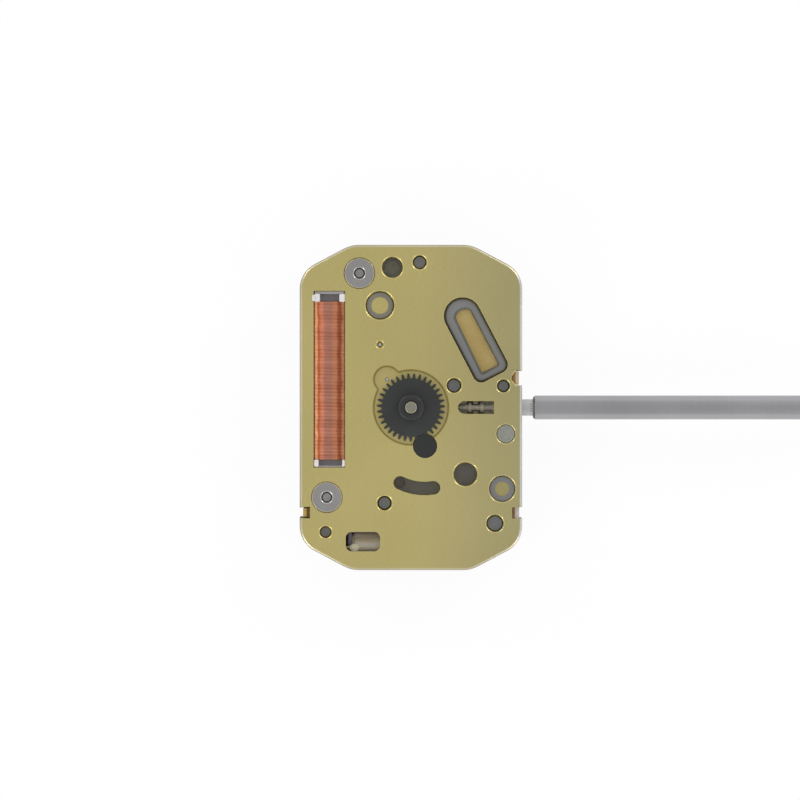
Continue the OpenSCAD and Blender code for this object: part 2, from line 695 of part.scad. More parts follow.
module rotor_seat() {
    color("gray") difference() {
        union() {
            disc(rotor_at, rotor_hole_r - slack, z_under - skin, -0.12);
            disc(rotor_at, rotor_hole_r + 0.14, z_under - 0.10, z_under);
        }
        disc(rotor_at, rotor_bush_r, z_under - 1, skin);
    }
}
module rotor_bush() {
    color("gold") difference() {
        disc(rotor_at, rotor_bush_r, z_under - 0.06, -0.18);
        disc(rotor_at, pivot_r + slack, z_under - 1, -0.30);
    }
}
module rotor_magnet() {
    color("dimgray") difference() {
        disc(rotor_at, magnet_r, z_magnet, z_magnet_top);
        disc(rotor_at, arbor_r, z_magnet - skin, z_magnet_top + skin);
    }
}
module arbor(p, z_high, z_pinion, z_pinion_top, n, m, dir, add = train_add) {
    disc(p, pivot_r, z_pivot_low, z_high);
    disc(p, arbor_r, z_bridge_top + gap, z_under - 0.12);
    at(p) slab(z_pinion, z_pinion_top) gear(n, m, dir, add);
}
module rotor_arbor() {
    color("silver") arbor(rotor_at, -0.33, z_inter_wheel - slack, z_magnet - slack, rotor_leaves, rotor_m,
        heading(rotor_at, inter_at) + 180 / rotor_leaves, 0.8);
}
pinion_over = 0.04;
module intermediate_arbor() {
    color("silver") arbor(inter_at, -0.08, z_third_wheel - pinion_over, z_third_wheel + wheel_t + pinion_over,
        inter_leaves, inter_m, heading(inter_at, third_at) + 180 / inter_leaves);
}
module train_wheel(p, z, n, m, dir, bore, holes = 4) {
    color("goldenrod") at(p) slab(z, z + wheel_t) difference() {
        gear(n, m, dir);
        circle(bore);
        for (k = [0:holes - 1]) rotate((k + 0.5) * 360 / holes) translate([0.62, 0]) circle(0.24);
    }
}
module intermediate_wheel() {
    train_wheel(inter_at, z_inter_wheel, inter_teeth, rotor_m, heading(inter_at, rotor_at), arbor_r);
}
module third_arbor() {
    color("silver") arbor(third_at, -0.14, z_centre_wheel - pinion_over, z_centre_wheel + wheel_t + pinion_over,
        third_leaves, third_m, heading(third_at, hand_axis) + 180 / third_leaves);
}
module third_wheel() {
    train_wheel(third_at, z_third_wheel, third_teeth, inter_m, heading(third_at, inter_at), arbor_r);
}
module centre_wheel() {
    train_wheel(hand_axis, z_centre_wheel, centre_teeth, third_m,
        heading(hand_axis, third_at), centre_shaft_r, 5);
}
centre_pivot_r = 0.08;
// The post narrows a little below the seat of the minute hand
post_taper = 0.005;
module minute_arbor() {
    tip = 0.05;
    color("silver") {
        disc(hand_axis, centre_pivot_r, z_pivot_low, z_bridge_top + 0.04);
        disc(hand_axis, centre_shaft_r, z_bridge_top + gap, z_motion + skin);
        slab(z_motion, z_motion_wheel_top)
            gear(cannon_leaves, cannon_m, heading(hand_axis, minute_at) + 180 / cannon_leaves);
        cone(hand_axis, minute_post_r - 2 * post_taper, minute_post_r - post_taper,
            z_motion_wheel_top - skin, hour_pipe_h + skin);
        disc(hand_axis, minute_post_r, hour_pipe_h, minute_post_h - tip);
        cone(hand_axis, minute_post_r, minute_post_r - tip, minute_post_h - tip - skin, minute_post_h);
    }
}
minute_hub_top = -dial_recess_d - slack;
module minute_wheel() {
    color([0.16, 0.16, 0.17]) difference() {
        union() {
            at(minute_at) slab(z_motion, z_motion_wheel_top)
                gear(minute_teeth, cannon_m, heading(minute_at, hand_axis));
            disc(minute_at, minute_hole_r - 0.04, z_motion_wheel_top - skin, minute_hub_top);
            at(minute_at) slab(minute_hub_top - skin, -slack)
                gear(minute_leaves, hour_m, heading(minute_at, hand_axis) + 180 / minute_leaves, 0.9);
        }
        disc(minute_at, wheel_post_r + gap, z_under, skin);
    }
}
module hour_wheel() {
    tip = 0.04;
    color([0.20, 0.20, 0.21]) difference() {
        union() {
            slab(-slack - hour_wheel_t, -slack)
                gear(hour_teeth, hour_m, heading(hand_axis, minute_at), hour_add, hour_ded);
            disc(hand_axis, hour_pipe_r, -slack - skin, hour_pipe_h - tip);
            cone(hand_axis, hour_pipe_r, hour_pipe_r - tip, hour_pipe_h - tip - skin, hour_pipe_h);
        }
        disc(hand_axis, minute_post_r + pipe_gap, -plate_t, hour_pipe_h + skin);
    }
}
// A wheel further down a chain is turned so that its gap meets the tooth before it
function next_dir(a, b, tooth_dir, n_a, n_b) =
    heading(b, a) - (tooth_dir - heading(a, b)) * n_a / n_b + 180 / n_b;
mid_dir = next_dir(minute_at, setting_mid_at, heading(minute_at, hand_axis), minute_teeth, setting_mid_teeth);
setting_dir = next_dir(setting_mid_at, stud_at, mid_dir, setting_mid_teeth, setting_teeth);
module setting_gear(p, n, dir, bore) {
    color("goldenrod") at(p) slab(z_motion, z_motion_wheel_top) difference() {
        gear(n, cannon_m, dir);
        circle(bore);
    }
}
module setting_wheel_mid() {
    setting_gear(setting_mid_at, setting_mid_teeth, mid_dir, wheel_post_r + gap);
}
stud_pin_r = 0.15;
module setting_wheel() { setting_gear(stud_at, setting_teeth, setting_dir, stud_pin_r + gap); }
module setting_stud() {
    color("lightgray") {
        disc(stud_at, stud_r, z_motion_wheel_top + 0.04, -gap);
        disc(stud_at, stud_pin_r, z_under, z_motion_wheel_top + 0.05);
    }
}
// The journal widens a little outwards, so it closes its bore when the stem is pushed home
journal_taper = 0.01;
module stem() {
    nose_r = 0.05;
    bevel = 0.07;
    half = stem_square / 2;
    color("darkgray") {
        along_stem(nose_x, collar_in_x + skin, nose_r, stem_neck_r + 0.05);
        along_stem(collar_in_x, neck_x, stem_collar_r, stem_collar_r);
        along_stem(neck_x - skin, collar_out_x + skin, stem_neck_r, stem_neck_r);
        along_stem(collar_out_x, shaft_x, stem_collar_r, stem_collar_r);
        along_stem(shaft_x - skin, square_x + skin, half, half);
        block(square_x, journal_x + skin, -half, half, z_stem - half, z_stem + half);
        along_stem(journal_x, thread_x + skin, stem_r, stem_r + journal_taper);
        along_stem(thread_x, thread_x + bevel + skin, stem_thread_r - bevel, stem_thread_r);
        along_stem(thread_x + bevel, stem_reach - bevel, stem_thread_r, stem_thread_r);
        along_stem(stem_reach - bevel - skin, stem_reach, stem_thread_r, stem_thread_r - bevel);
    }
}
module clutch_pinion() {
    bore = stem_square / 2 + 0.015;
    tooth = 0.05;
    color("silver") difference() {
        union() {
            translate([clutch_x, 0, z_stem]) rotate([90, 0, 90]) linear_extrude(clutch_tooth_w + skin)
                polygon(gear_pts(10, clutch_r - tooth, tooth, tooth));
            along_stem(clutch_neck_x, clutch_collar_x, clutch_neck_r, clutch_neck_r);
            along_stem(clutch_collar_x - skin, clutch_collar_x + clutch_collar_w,
                clutch_r - skin, clutch_r - skin);
        }
        block(clutch_x - 1, clutch_x + 1, -bore, bore, z_stem - bore, z_stem + bore);
    }
}
slide_w = 0.65;
slide_edge_y = 1.22;
jumper_tip_x = 2.85;
module setting_slide() {
    fork_x = neck_x + 0.08;
    fork_w = 0.20;
    color("silver") {
        slab(z_slide, z_slide + lever_t) difference() {
            union() {
                translate([2.35, -0.35]) square([slide_w, 1.0]);
                translate([1.98, 0.60]) square([2.35 + slide_w - 1.98, slide_edge_y - 0.60]);
            }
            link(slide_post_at - [stem_travel, 0], slide_post_at, guide_post_r + gap);
            // Two notches for the jumper, one for each place of the stem
            for (k = [0, 1]) translate([jumper_tip_x - k * stem_travel, slide_edge_y])
                rotate(45) square(0.14, center = true);
        }
        difference() {
            block(fork_x, fork_x + fork_w, -0.28, 0.28, z_slide + lever_t - skin, z_stem + slack);
            along_stem(fork_x - 1, fork_x + 1, stem_neck_r + gap, stem_neck_r + gap);
        }
    }
}
module yoke() {
    arm_x = clutch_neck_x + slack;
    body_l = 0.93;
    color("silver") slab(z_stem - lever_t / 2, z_stem + lever_t / 2) difference() {
        union() {
            translate([2.92, 0.70]) square([body_l, 0.50]);
            translate([arm_x, clutch_neck_r + slack]) square([clutch_neck_w - 2 * slack, 0.50]);
        }
        link(yoke_post_at - [clutch_travel, 0], yoke_post_at, guide_post_r + gap);
    }
}
module jumper_spring() {
    bend = [2.80, 1.36];
    color("silver") slab(z_slide, z_slide + lever_t) {
        link(jumper_foot_at, bend, 0.05);
        link(bend, [jumper_tip_x, slide_edge_y + 0.04], 0.04);
        at(jumper_foot_at) circle(0.09);
    }
}
z_stop = z_slide + lever_t + 0.05;
lever_arm_r = 0.11;
module stop_lever() {
    color("silver") slab(z_stop, z_stop + lever_t) difference() {
        union() {
            at(lever_pivot_at) circle(0.28);
            link(lever_pivot_at, [2.29, 0.60], lever_arm_r);
            link(lever_pivot_at, [2.10, 1.36], lever_arm_r);
            link([2.10, 1.36], [2.60, 1.36], 0.08);
        }
        at(lever_pivot_at) circle(guide_post_r + slack);
    }
}
module bridge_shape(grow) {
    difference() {
        intersection() {
            polygon(outline(board_inset - 0.02 - grow));
            translate([-plate_w, -0.70 - grow]) square([2 * plate_w, plate_l]);
        }
        at(cell_at) circle(cup_r + 0.04 - grow);
    }
}
bush_r = 0.22;
bushes_at = [rotor_at, inter_at, third_at, hand_axis];
module train_bridge() {
    color("gray") {
        difference() {
            slab(z_bridge, z_bridge_top) bridge_shape(0);
            for (p = bushes_at) disc(p, bush_r, z_bridge - skin, z_bridge_top + skin);
            for (p = bridge_screws_at) disc(p, screw_r + skin, z_bridge - skin, z_bridge_top + skin);
            disc(cover_screws_at[0], screw_r + gap, z_bridge - skin, z_bridge_top + skin);
        }
        disc(slide_post_at, guide_post_r, z_bridge_top - skin, z_slide + lever_t + gap);
        disc(lever_pivot_at, guide_post_r, z_bridge_top - skin, z_stop + lever_t + gap);
        disc(jumper_foot_at, 0.08, z_bridge_top - skin, z_slide);
    }
}
module bridge_bushes() {
    color("gold") for (p = bushes_at) difference() {
        disc(p, bush_r, z_bridge, z_bridge_top);
        disc(p, (p == hand_axis ? centre_pivot_r : pivot_r) + slack, z_bridge + 0.04, z_bridge_top + skin);
    }
}
// The screws end short of their holes by this much
screw_end_gap = 0.05;
module bridge_screws() {
    color("silver") for (p = bridge_screws_at)
        disc(p, screw_r, z_bridge, z_floor - bridge_hole_below - screw_end_gap);
}
module circuit_board() {
    color("darkgreen") slab(z_board, z_bridge) difference() {
        polygon(outline(board_inset));
        at(cell_at) circle(cup_r + 0.05);
        for (p = cover_screws_at) at(p) circle(screw_r + gap);
        for (s = [-1, 1]) at([lead_x, can_start[1] + s * lead_half_pitch]) circle(lead_r + 0.04);
        at(release_at) circle(release_r);
    }
}
release_at = [2.45, 0.25];
release_r = 0.28;
module circuit_chip() {
    color("black") translate([chip_at[0] - chip_size[0] / 2, chip_at[1] - chip_size[1] / 2, z_board - chip_t])
        cube([chip_size[0], chip_size[1], chip_t]);
}
module quartz_can() {
    bevel = 0.10;
    color("silver") translate([can_start[0], can_start[1], z_can]) rotate([0, 90, 0]) {
        translate([0, 0, bevel]) cylinder(h = can_l - bevel, r = can_d / 2);
        cylinder(h = bevel + skin, r1 = can_d / 2 - bevel, r2 = can_d / 2);
    }
}
lead_r = 0.05;
lead_half_pitch = 0.15;
lead_l = 0.25;
lead_x = can_start[0] + can_l + lead_l - lead_r;
module quartz_leads() {
    color("silver") for (s = [-1, 1]) {
        translate([can_start[0] + can_l, can_start[1] + s * lead_half_pitch, z_can]) rotate([0, 90, 0])
            cylinder(h = lead_l, r = lead_r);
        disc([lead_x, can_start[1] + s * lead_half_pitch], lead_r, z_board, z_can);
    }
}
module contact_panel() {
    color("orange") slab(z_under - 0.32, z_under - 0.20) slant_shape(band_w + skin);
}
module cell_can() {
    color("lightgray") difference() {
        disc(cell_at, cell_r, z_cell, z_cell + cell_t - cap_rise);
        disc(cell_at, cell_r - cell_wall, z_cell + cell_wall, z_cell + cell_t);
    }
}
module cell_gasket() {
    color("white") difference() {
        disc(cell_at, cell_r - cell_wall, z_cell + cell_wall, z_cell + cell_t - cap_rise + 0.04);
        disc(cell_at, cell_r - cell_wall - seal_w, z_cell, z_cell + cell_t);
    }
}
module cell_cap() {
    color("silver") disc(cell_at, cell_r - cell_wall - seal_w, z_cell + cell_wall, z_cell + cell_t);
}
leaf_t = 0.04;
leaf_room = 0.05;
neg_x = [-1.24, 2.40];
neg_y = [-3.60, -3.10];
pocket_side_x = cell_at[0] - cell_r + 0.2;
module negative_contact() {
    color("gold") {
        block(neg_x[0], neg_x[1], neg_y[0], neg_y[1], z_floor - leaf_t - skin / 2, z_floor - skin / 2);
        block(neg_x[0], neg_x[0] + leaf_t, neg_y[0], neg_y[1], z_bridge, z_floor - leaf_t / 2);
    }
}
// The positive contact stands beside the cell: where it starts, how far it goes round, its sizes
pos_from = 132;
pos_angle = 16;
pos_leaf_h = 0.90;
pos_foot = 0.42;
pos_foot_t = 0.06;
module positive_contact() {
    color("gold") at(cell_at) rotate(pos_from) rotate_extrude(angle = pos_angle)
        translate([cell_r + cell_gap / 2, z_cover_top]) {
            square([leaf_t, pos_leaf_h]);
            square([pos_foot, pos_foot_t]);
        }
}
// Hook of the back cover: foot, riser and finger
hook_foot = 0.50;
module hook(side, y, w, z_top, finger) {
    x = plate_w / 2 - hook_t;
    for (s = [[hook_t, z_cover, z_top], [hook_foot, z_cover, z_cover_top], [finger, z_top - hook_t, z_top]])
        block(side > 0 ? x - s[0] : -x, side > 0 ? x : -x + s[0], y - w / 2, y + w / 2, s[1], s[2]);
}
// Openings of the cover: clearance round the chip, over the pivots and over the coil leads
cover_chip_gap = 0.25;
cover_pivot_r = 0.32;
cover_lead_slot = [[-3.30, -1.60], [-3.30, 0.60]];
cover_lead_r = 0.36;
module back_cover() {
    color("gold") {
        slab(z_cover, z_cover_top) difference() {
            polygon(outline(board_inset + 0.02));
            at(cell_at) circle(cup_r + 0.05);
            for (p = cover_screws_at) at(p) circle(screw_r + gap);
            // Openings over the chip, the pivots, the coil leads and the stem release
            at(chip_at) square(chip_size + 2 * cover_chip_gap * [1, 1], center = true);
            for (p = [rotor_at, third_at, hand_axis]) at(p) circle(cover_pivot_r);
            at(release_at) circle(release_r + 0.04);
            link(cover_lead_slot[0], cover_lead_slot[1], cover_lead_r);
        }
        hook(-1, notch_left_y, hook_w, -0.20, 0.28);
        hook(1, notch_high_y, hook_high_w, -0.14, 0.27);
    }
}
cover_screw_head_t = 0.16;
module cover_screws() {
    color("silver") for (p = cover_screws_at) difference() {
        union() {
            disc(p, screw_r, z_cover, z_under - cover_hole_below - screw_end_gap);
            disc(p, screw_head_r, z_cover - cover_screw_head_t, z_cover);
        }
        screw_slot(p, z_cover - cover_screw_head_t);
    }
}

main_plate();
movement_frame();
frame_rivet();
coil_pillars();
coil_screws();
coil_core();
coil_winding();
winding_turns();
coil_end_blocks();
coil_corner_pads();
stator();
rotor_seat();
rotor_bush();
rotor_magnet();
rotor_arbor();
intermediate_arbor();
intermediate_wheel();
third_arbor();
third_wheel();
centre_wheel();
minute_arbor();
minute_wheel();
hour_wheel();
setting_wheel_mid();
setting_wheel();
setting_stud();
stem();
clutch_pinion();
setting_slide();
yoke();
jumper_spring();
stop_lever();
train_bridge();
bridge_bushes();
bridge_screws();
circuit_board();
circuit_chip();
quartz_can();
quartz_leads();
contact_panel();
cell_can();
cell_gasket();
cell_cap();
negative_contact();
positive_contact();
back_cover();
cover_screws();
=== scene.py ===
import math
import bpy, bmesh
from mathutils import Matrix, Vector


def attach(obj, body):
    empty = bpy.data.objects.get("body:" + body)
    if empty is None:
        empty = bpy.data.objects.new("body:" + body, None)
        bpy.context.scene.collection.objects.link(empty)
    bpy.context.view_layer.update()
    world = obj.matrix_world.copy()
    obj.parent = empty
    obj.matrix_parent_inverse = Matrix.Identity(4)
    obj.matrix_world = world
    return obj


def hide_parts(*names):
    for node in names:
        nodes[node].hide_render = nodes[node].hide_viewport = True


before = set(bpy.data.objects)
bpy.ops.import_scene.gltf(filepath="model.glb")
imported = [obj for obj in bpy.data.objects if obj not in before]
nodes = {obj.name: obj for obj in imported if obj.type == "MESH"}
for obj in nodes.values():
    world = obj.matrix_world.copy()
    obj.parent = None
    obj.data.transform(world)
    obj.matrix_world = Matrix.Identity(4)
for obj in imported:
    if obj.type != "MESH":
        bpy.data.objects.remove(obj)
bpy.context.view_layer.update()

# Studio
# The movement lies on its back cover on a white sheet, seen straight from above through a long
# lens. A white room lights it softly, a little darker overhead, with four low corner lamps.
MM = 0.001
sheet_z = -2.52 * MM
bpy.ops.mesh.primitive_plane_add(size=0.6, location=(0, 0, sheet_z))
sheet = bpy.context.object
sheet.name = "paper_sheet"

look_at = Vector((-0.4545, 0.310, 0)) * MM
# Width of the picture on the plate
field = 33.058 * MM
lens, sensor = 200, 36
cam_data = bpy.data.cameras.new("overhead_camera")
cam_data.lens, cam_data.sensor_width = lens, sensor
cam_data.clip_start, cam_data.clip_end = 0.001, 10
camera = bpy.data.objects.new("overhead_camera", cam_data)
camera.location = look_at + Vector((0, 0, field * lens / sensor))
bpy.context.collection.objects.link(camera)
bpy.context.scene.camera = camera
bpy.context.scene.view_settings.view_transform = "Standard"

paper = bpy.data.materials.new("white paper")
paper.use_nodes = True
tree = paper.node_tree
matt = tree.nodes["Principled BSDF"]
matt.inputs["Base Color"].default_value = (0.93, 0.93, 0.93, 1)
matt.inputs["Roughness"].default_value = 0.9
bright = tree.nodes.new("ShaderNodeEmission")
bright.inputs["Color"].default_value = (1, 1, 1, 1)
path = tree.nodes.new("ShaderNodeLightPath")
seen = tree.nodes.new("ShaderNodeMath")
seen.operation = "ADD"
seen.use_clamp = True
paper_glow = 0.93
share = tree.nodes.new("ShaderNodeMath")
share.operation = "MULTIPLY"
share.inputs[1].default_value = paper_glow
blend = tree.nodes.new("ShaderNodeMixShader")
tree.links.new(path.outputs["Is Camera Ray"], seen.inputs[0])
tree.links.new(path.outputs["Is Glossy Ray"], seen.inputs[1])
tree.links.new(seen.outputs[0], share.inputs[0])
tree.links.new(share.outputs[0], blend.inputs[0])
tree.links.new(matt.outputs[0], blend.inputs[1])
tree.links.new(bright.outputs[0], blend.inputs[2])
tree.links.new(blend.outputs[0], tree.nodes["Material Output"].inputs["Surface"])
sheet.data.materials.append(paper)

room = bpy.data.worlds.new("white room")
bpy.context.scene.world = room
room.use_nodes = True
tree = room.node_tree
walls = tree.nodes["Background"]
walls.inputs["Color"].default_value = (1, 1, 1, 1)
direction = tree.nodes.new("ShaderNodeTexCoord")
height = tree.nodes.new("ShaderNodeSeparateXYZ")
shade = tree.nodes.new("ShaderNodeMapRange")
shade.interpolation_type = "SMOOTHSTEP"
shade.inputs["From Min"].default_value = 0.10
shade.inputs["From Max"].default_value = 0.60
shade.inputs["To Min"].default_value = 1.05
shade.inputs["To Max"].default_value = 0.66
white = tree.nodes.new("ShaderNodeBackground")
white.inputs["Color"].default_value = (1, 1, 1, 1)
path = tree.nodes.new("ShaderNodeLightPath")
blend = tree.nodes.new("ShaderNodeMixShader")
tree.links.new(direction.outputs["Generated"], height.inputs[0])
tree.links.new(height.outputs["Z"], shade.inputs["Value"])
tree.links.new(shade.outputs[0], walls.inputs["Strength"])
tree.links.new(path.outputs["Is Camera Ray"], blend.inputs[0])
tree.links.new(walls.outputs[0], blend.inputs[1])
tree.links.new(white.outputs[0], blend.inputs[2])
tree.links.new(blend.outputs[0], tree.nodes["World Output"].inputs["Surface"])

lamp_far, lamp_size, lamp_rise = 0.09, 0.030, 26
for azimuth, power in ((42, 0.020), (138, 0.014), (222, 0.020), (318, 0.012)):
    lamp_data = bpy.data.lights.new("corner_lamp", "AREA")
    lamp_data.size, lamp_data.energy = lamp_size, power
    lamp = bpy.data.objects.new("corner_lamp", lamp_data)
    a, e = math.radians(azimuth), math.radians(lamp_rise)
    towards = Vector((math.cos(a) * math.cos(e), math.sin(a) * math.cos(e), math.sin(e)))
    lamp.location = towards * lamp_far
    lamp.rotation_euler = (-lamp.location).to_track_quat("-Z", "Y").to_euler()
    bpy.context.collection.objects.link(lamp)

# Main plate
# Stamped brass plate, plated pale olive gold and finely brushed from side to side.
# The press leaves its edges and holes slightly rounded, and they catch the light.
ROOT = "plate_and_frame"


def shader_group(name, inputs, outputs):
    """An empty node group with its sockets; gives the tree and its inner ends."""
    group = bpy.data.node_groups.new(name, "ShaderNodeTree")
    for label, kind, value in inputs:
        socket = group.interface.new_socket(label, in_out="INPUT", socket_type=kind)
        if value is not None:
            socket.default_value = value
    for label, kind in outputs:
        group.interface.new_socket(label, in_out="OUTPUT", socket_type=kind)
    return group, group.nodes.new("NodeGroupInput"), group.nodes.new("NodeGroupOutput")


def add(tree, kind, settings=(), **wires):
    """A node with its settings, and each named input wired to a socket or given a value."""
    made = tree.nodes.new(kind)
    for key, value in settings:
        setattr(made, key, value)
    for key, value in wires.items():
        key = int(key[1:]) if key[0] == "_" else key.replace("_", " ")
        if isinstance(value, bpy.types.NodeSocket):
            tree.links.new(value, made.inputs[key])
        else:
            made.inputs[key].default_value = value
    return made


# Fine lines left by a brush or a cutter: noise drawn out along one direction
lines_group, start, end = shader_group(
    "tool lines",
    [("Vector", "NodeSocketVector", None),
     ("Stretch", "NodeSocketVector", (1, 1, 1)),
     ("Detail", "NodeSocketFloat", 3)],
    [("Value", "NodeSocketFloat")])
drawn = add(lines_group, "ShaderNodeVectorMath", [("operation", "MULTIPLY")],
            _0=start.outputs["Vector"], _1=start.outputs["Stretch"])
noise = add(lines_group, "ShaderNodeTexNoise",
            Vector=drawn.outputs[0], Scale=1.0, Detail=start.outputs["Detail"])
lines_group.links.new(noise.outputs["Fac"], end.inputs["Value"])

# Slow change of tone over a surface
tone_group, start, end = shader_group(
    "slow tone",
    [("Vector", "NodeSocketVector", None),
     ("Scale", "NodeSocketFloat", 200),
     ("Low", "NodeSocketColor", (0, 0, 0, 1)),
     ("High", "NodeSocketColor", (1, 1, 1, 1))],
    [("Color", "NodeSocketColor")])
noise = add(tone_group, "ShaderNodeTexNoise",
            Vector=start.outputs["Vector"], Scale=start.outputs["Scale"], Detail=2.0)
spread = add(tone_group, "ShaderNodeMapRange", Value=noise.outputs["Fac"], From_Min=0.32, From_Max=0.68)
mixed = add(tone_group, "ShaderNodeMix", [("data_type", "RGBA")],
            _0=spread.outputs[0], _6=start.outputs["Low"], _7=start.outputs["High"])
tone_group.links.new(mixed.outputs[2], end.inputs["Color"])

# Soft ring on the surface: 1 on a circle about a point in the plate's plane, 0 past its width
ring_group, start, end = shader_group(
    "soft ring",
    [("Vector", "NodeSocketVector", None),
     ("Centre", "NodeSocketVector", (0, 0, 0)),
     ("Radius", "NodeSocketFloat", 0.001),
     ("Width", "NodeSocketFloat", 0.00003)],
    [("Mask", "NodeSocketFloat"), ("Outside", "NodeSocketFloat")])
off = add(ring_group, "ShaderNodeVectorMath", [("operation", "SUBTRACT")],
          _0=start.outputs["Vector"], _1=start.outputs["Centre"])
flat_off = add(ring_group, "ShaderNodeVectorMath", [("operation", "MULTIPLY")],
               _0=off.outputs[0], _1=(1, 1, 0))
away = add(ring_group, "ShaderNodeVectorMath", [("operation", "LENGTH")], _0=flat_off.outputs[0])
from_ring = add(ring_group, "ShaderNodeMath", [("operation", "SUBTRACT")],
                _0=away.outputs["Value"], _1=start.outputs["Radius"])
near = add(ring_group, "ShaderNodeMath", [("operation", "ABSOLUTE")], _0=from_ring.outputs[0])
mask = add(ring_group, "ShaderNodeMapRange", Value=near.outputs[0], From_Min=0.0,
           From_Max=start.outputs["Width"], To_Min=1.0, To_Max=0.0)
outside = add(ring_group, "ShaderNodeMath", [("operation", "GREATER_THAN")],
              _0=from_ring.outputs[0], _1=0.0)
ring_group.links.new(mask.outputs[0], end.inputs["Mask"])
ring_group.links.new(outside.outputs[0], end.inputs["Outside"])


def finish(name, low, high, rough, metal, stretch, bump=0.15, tone=260,
           rough_swing=0.10, streak=0.10, depth=4e-6):
    """A material: two close tones over the surface, tool lines in its colour, gloss and relief."""
    made = bpy.data.materials.new(name)
    made.use_nodes = True
    t = made.node_tree
    shader = t.nodes["Principled BSDF"]
    shader.inputs["Metallic"].default_value = metal
    place = add(t, "ShaderNodeTexCoord").outputs["Object"]
    tones = add(t, "ShaderNodeGroup", [("node_tree", tone_group)],
                Vector=place, Scale=tone, Low=(*low, 1), High=(*high, 1))
    lines = add(t, "ShaderNodeGroup", [("node_tree", lines_group)], Vector=place, Stretch=stretch)
    dark = add(t, "ShaderNodeMapRange", Value=lines.outputs[0],
               From_Min=0.3, From_Max=0.7, To_Min=1 - streak, To_Max=1 + streak)
    toned = add(t, "ShaderNodeVectorMath", [("operation", "SCALE")],
                _0=tones.outputs[0], Scale=dark.outputs[0])
    gloss = add(t, "ShaderNodeMapRange", Value=lines.outputs[0],
                From_Min=0.3, From_Max=0.7, To_Min=rough - rough_swing, To_Max=rough + rough_swing)
    relief = add(t, "ShaderNodeBump", Strength=bump, Distance=depth, Height=lines.outputs[0])
    t.links.new(toned.outputs[0], shader.inputs["Base Color"])
    t.links.new(gloss.outputs[0], shader.inputs["Roughness"])
    t.links.new(relief.outputs[0], shader.inputs["Normal"])
    return made


def stain(material, mask, colour, blend="MULTIPLY"):
    """Multiplies a finish's colour by another one, or sets it, where the mask is on."""
    t = material.node_tree
    base = t.nodes["Principled BSDF"].inputs["Base Color"]
    mixed = add(t, "ShaderNodeMix", [("data_type", "RGBA"), ("blend_type", blend)],
                _0=mask, _6=base.links[0].from_socket, _7=(*colour, 1))
    t.links.new(mixed.outputs[2], base)


def dress(node, *materials):
    """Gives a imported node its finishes."""
    mesh = nodes[node].data
    mesh.materials.clear()
    for m in materials:
        mesh.materials.append(m)


def piece(name, bm, materials, body=ROOT, hides=(), crease=20):
    """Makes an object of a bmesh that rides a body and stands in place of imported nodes.

    Faces with more than four sides are flat by nature; the others may belong to a curve."""
    mesh = bpy.data.meshes.new(name)
    bm.to_mesh(mesh)
    bm.free()
    mesh.set_sharp_from_angle(angle=math.radians(crease))
    for f in mesh.polygons:
        f.use_smooth = len(f.vertices) < 5
    for m in materials:
        mesh.materials.append(m)
    made = bpy.data.objects.new(name, mesh)
    bpy.context.collection.objects.link(made)
    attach(made, body)
    if hides:
        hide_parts(*hides)
    return made


def ease(bm, edges, width, steps, material=-1, clamp=True):
    """Rounds edges by a width in mm."""
    bmesh.ops.bevel(bm, geom=edges, offset=width * MM, segments=steps, profile=0.5,
                    affect="EDGES", material=material, clamp_overlap=clamp)


def rounded(node, name, width, materials, body=ROOT, steps=2, angle=38,
            wide=None, leave=None, paint=None, mend=None):
    """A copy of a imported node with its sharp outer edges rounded, standing in its place.

    wide is a test on an edge's middle in mm, a width and a material number, for edges that are
    rounded more; leave is a test for edges left sharp; paint gives a face's material number from
    its middle and its normal; mend changes the bare copy first."""
    bm = bmesh.new()
    bm.from_mesh(nodes[node].data)
    bmesh.ops.remove_doubles(bm, verts=bm.verts, dist=2e-7)
    bmesh.ops.dissolve_limit(bm, angle_limit=math.radians(0.5), verts=bm.verts, edges=bm.edges)
    if mend:
        mend(bm)
    for f in bm.faces:
        f.material_index = paint(f.calc_center_median() / MM, f.normal) if paint else 0
    limit = math.radians(angle)

    def sharp():
        return [e for e in bm.edges if len(e.link_faces) == 2 and e.calc_face_angle_signed(0) > limit]

    def middle(e):
        return (e.verts[0].co + e.verts[1].co) / 2 / MM

    chosen = [e for e in sharp() if e.calc_length() > 1e-6 and not (leave and leave(middle(e)))
              and not (wide and wide[0](middle(e)))]
    ease(bm, chosen, width, steps, 1 if len(materials) > 1 else -1)
    if wide:
        ease(bm, [e for e in sharp() if wide[0](middle(e))], wide[1], 4, wide[2], clamp=False)
    return piece(name, bm, materials, body, (node,))


def apart(c, x, y):
    """Distance in the plate's plane from a place in mm."""
    return math.hypot(c.x - x, c.y - y)


pillars = ((-2.13, 5.55), (-3.48, -3.71))
plate_slope = math.radians(28)


def plate_rim(c):
    """Whether a place in mm is on the top edge of the plate's outline."""
    x, y = abs(c.x), abs(c.y)
    on_slope = math.sin(plate_slope) * x + math.cos(plate_slope) * y > 7.00
    on_corner = x > 3.44 and y > 4.91 and math.hypot(x - 3.45, y - 4.92) > 1.10
    return c.z > -0.02 and (x > 4.55 or y > 6.65 or on_slope or on_corner)


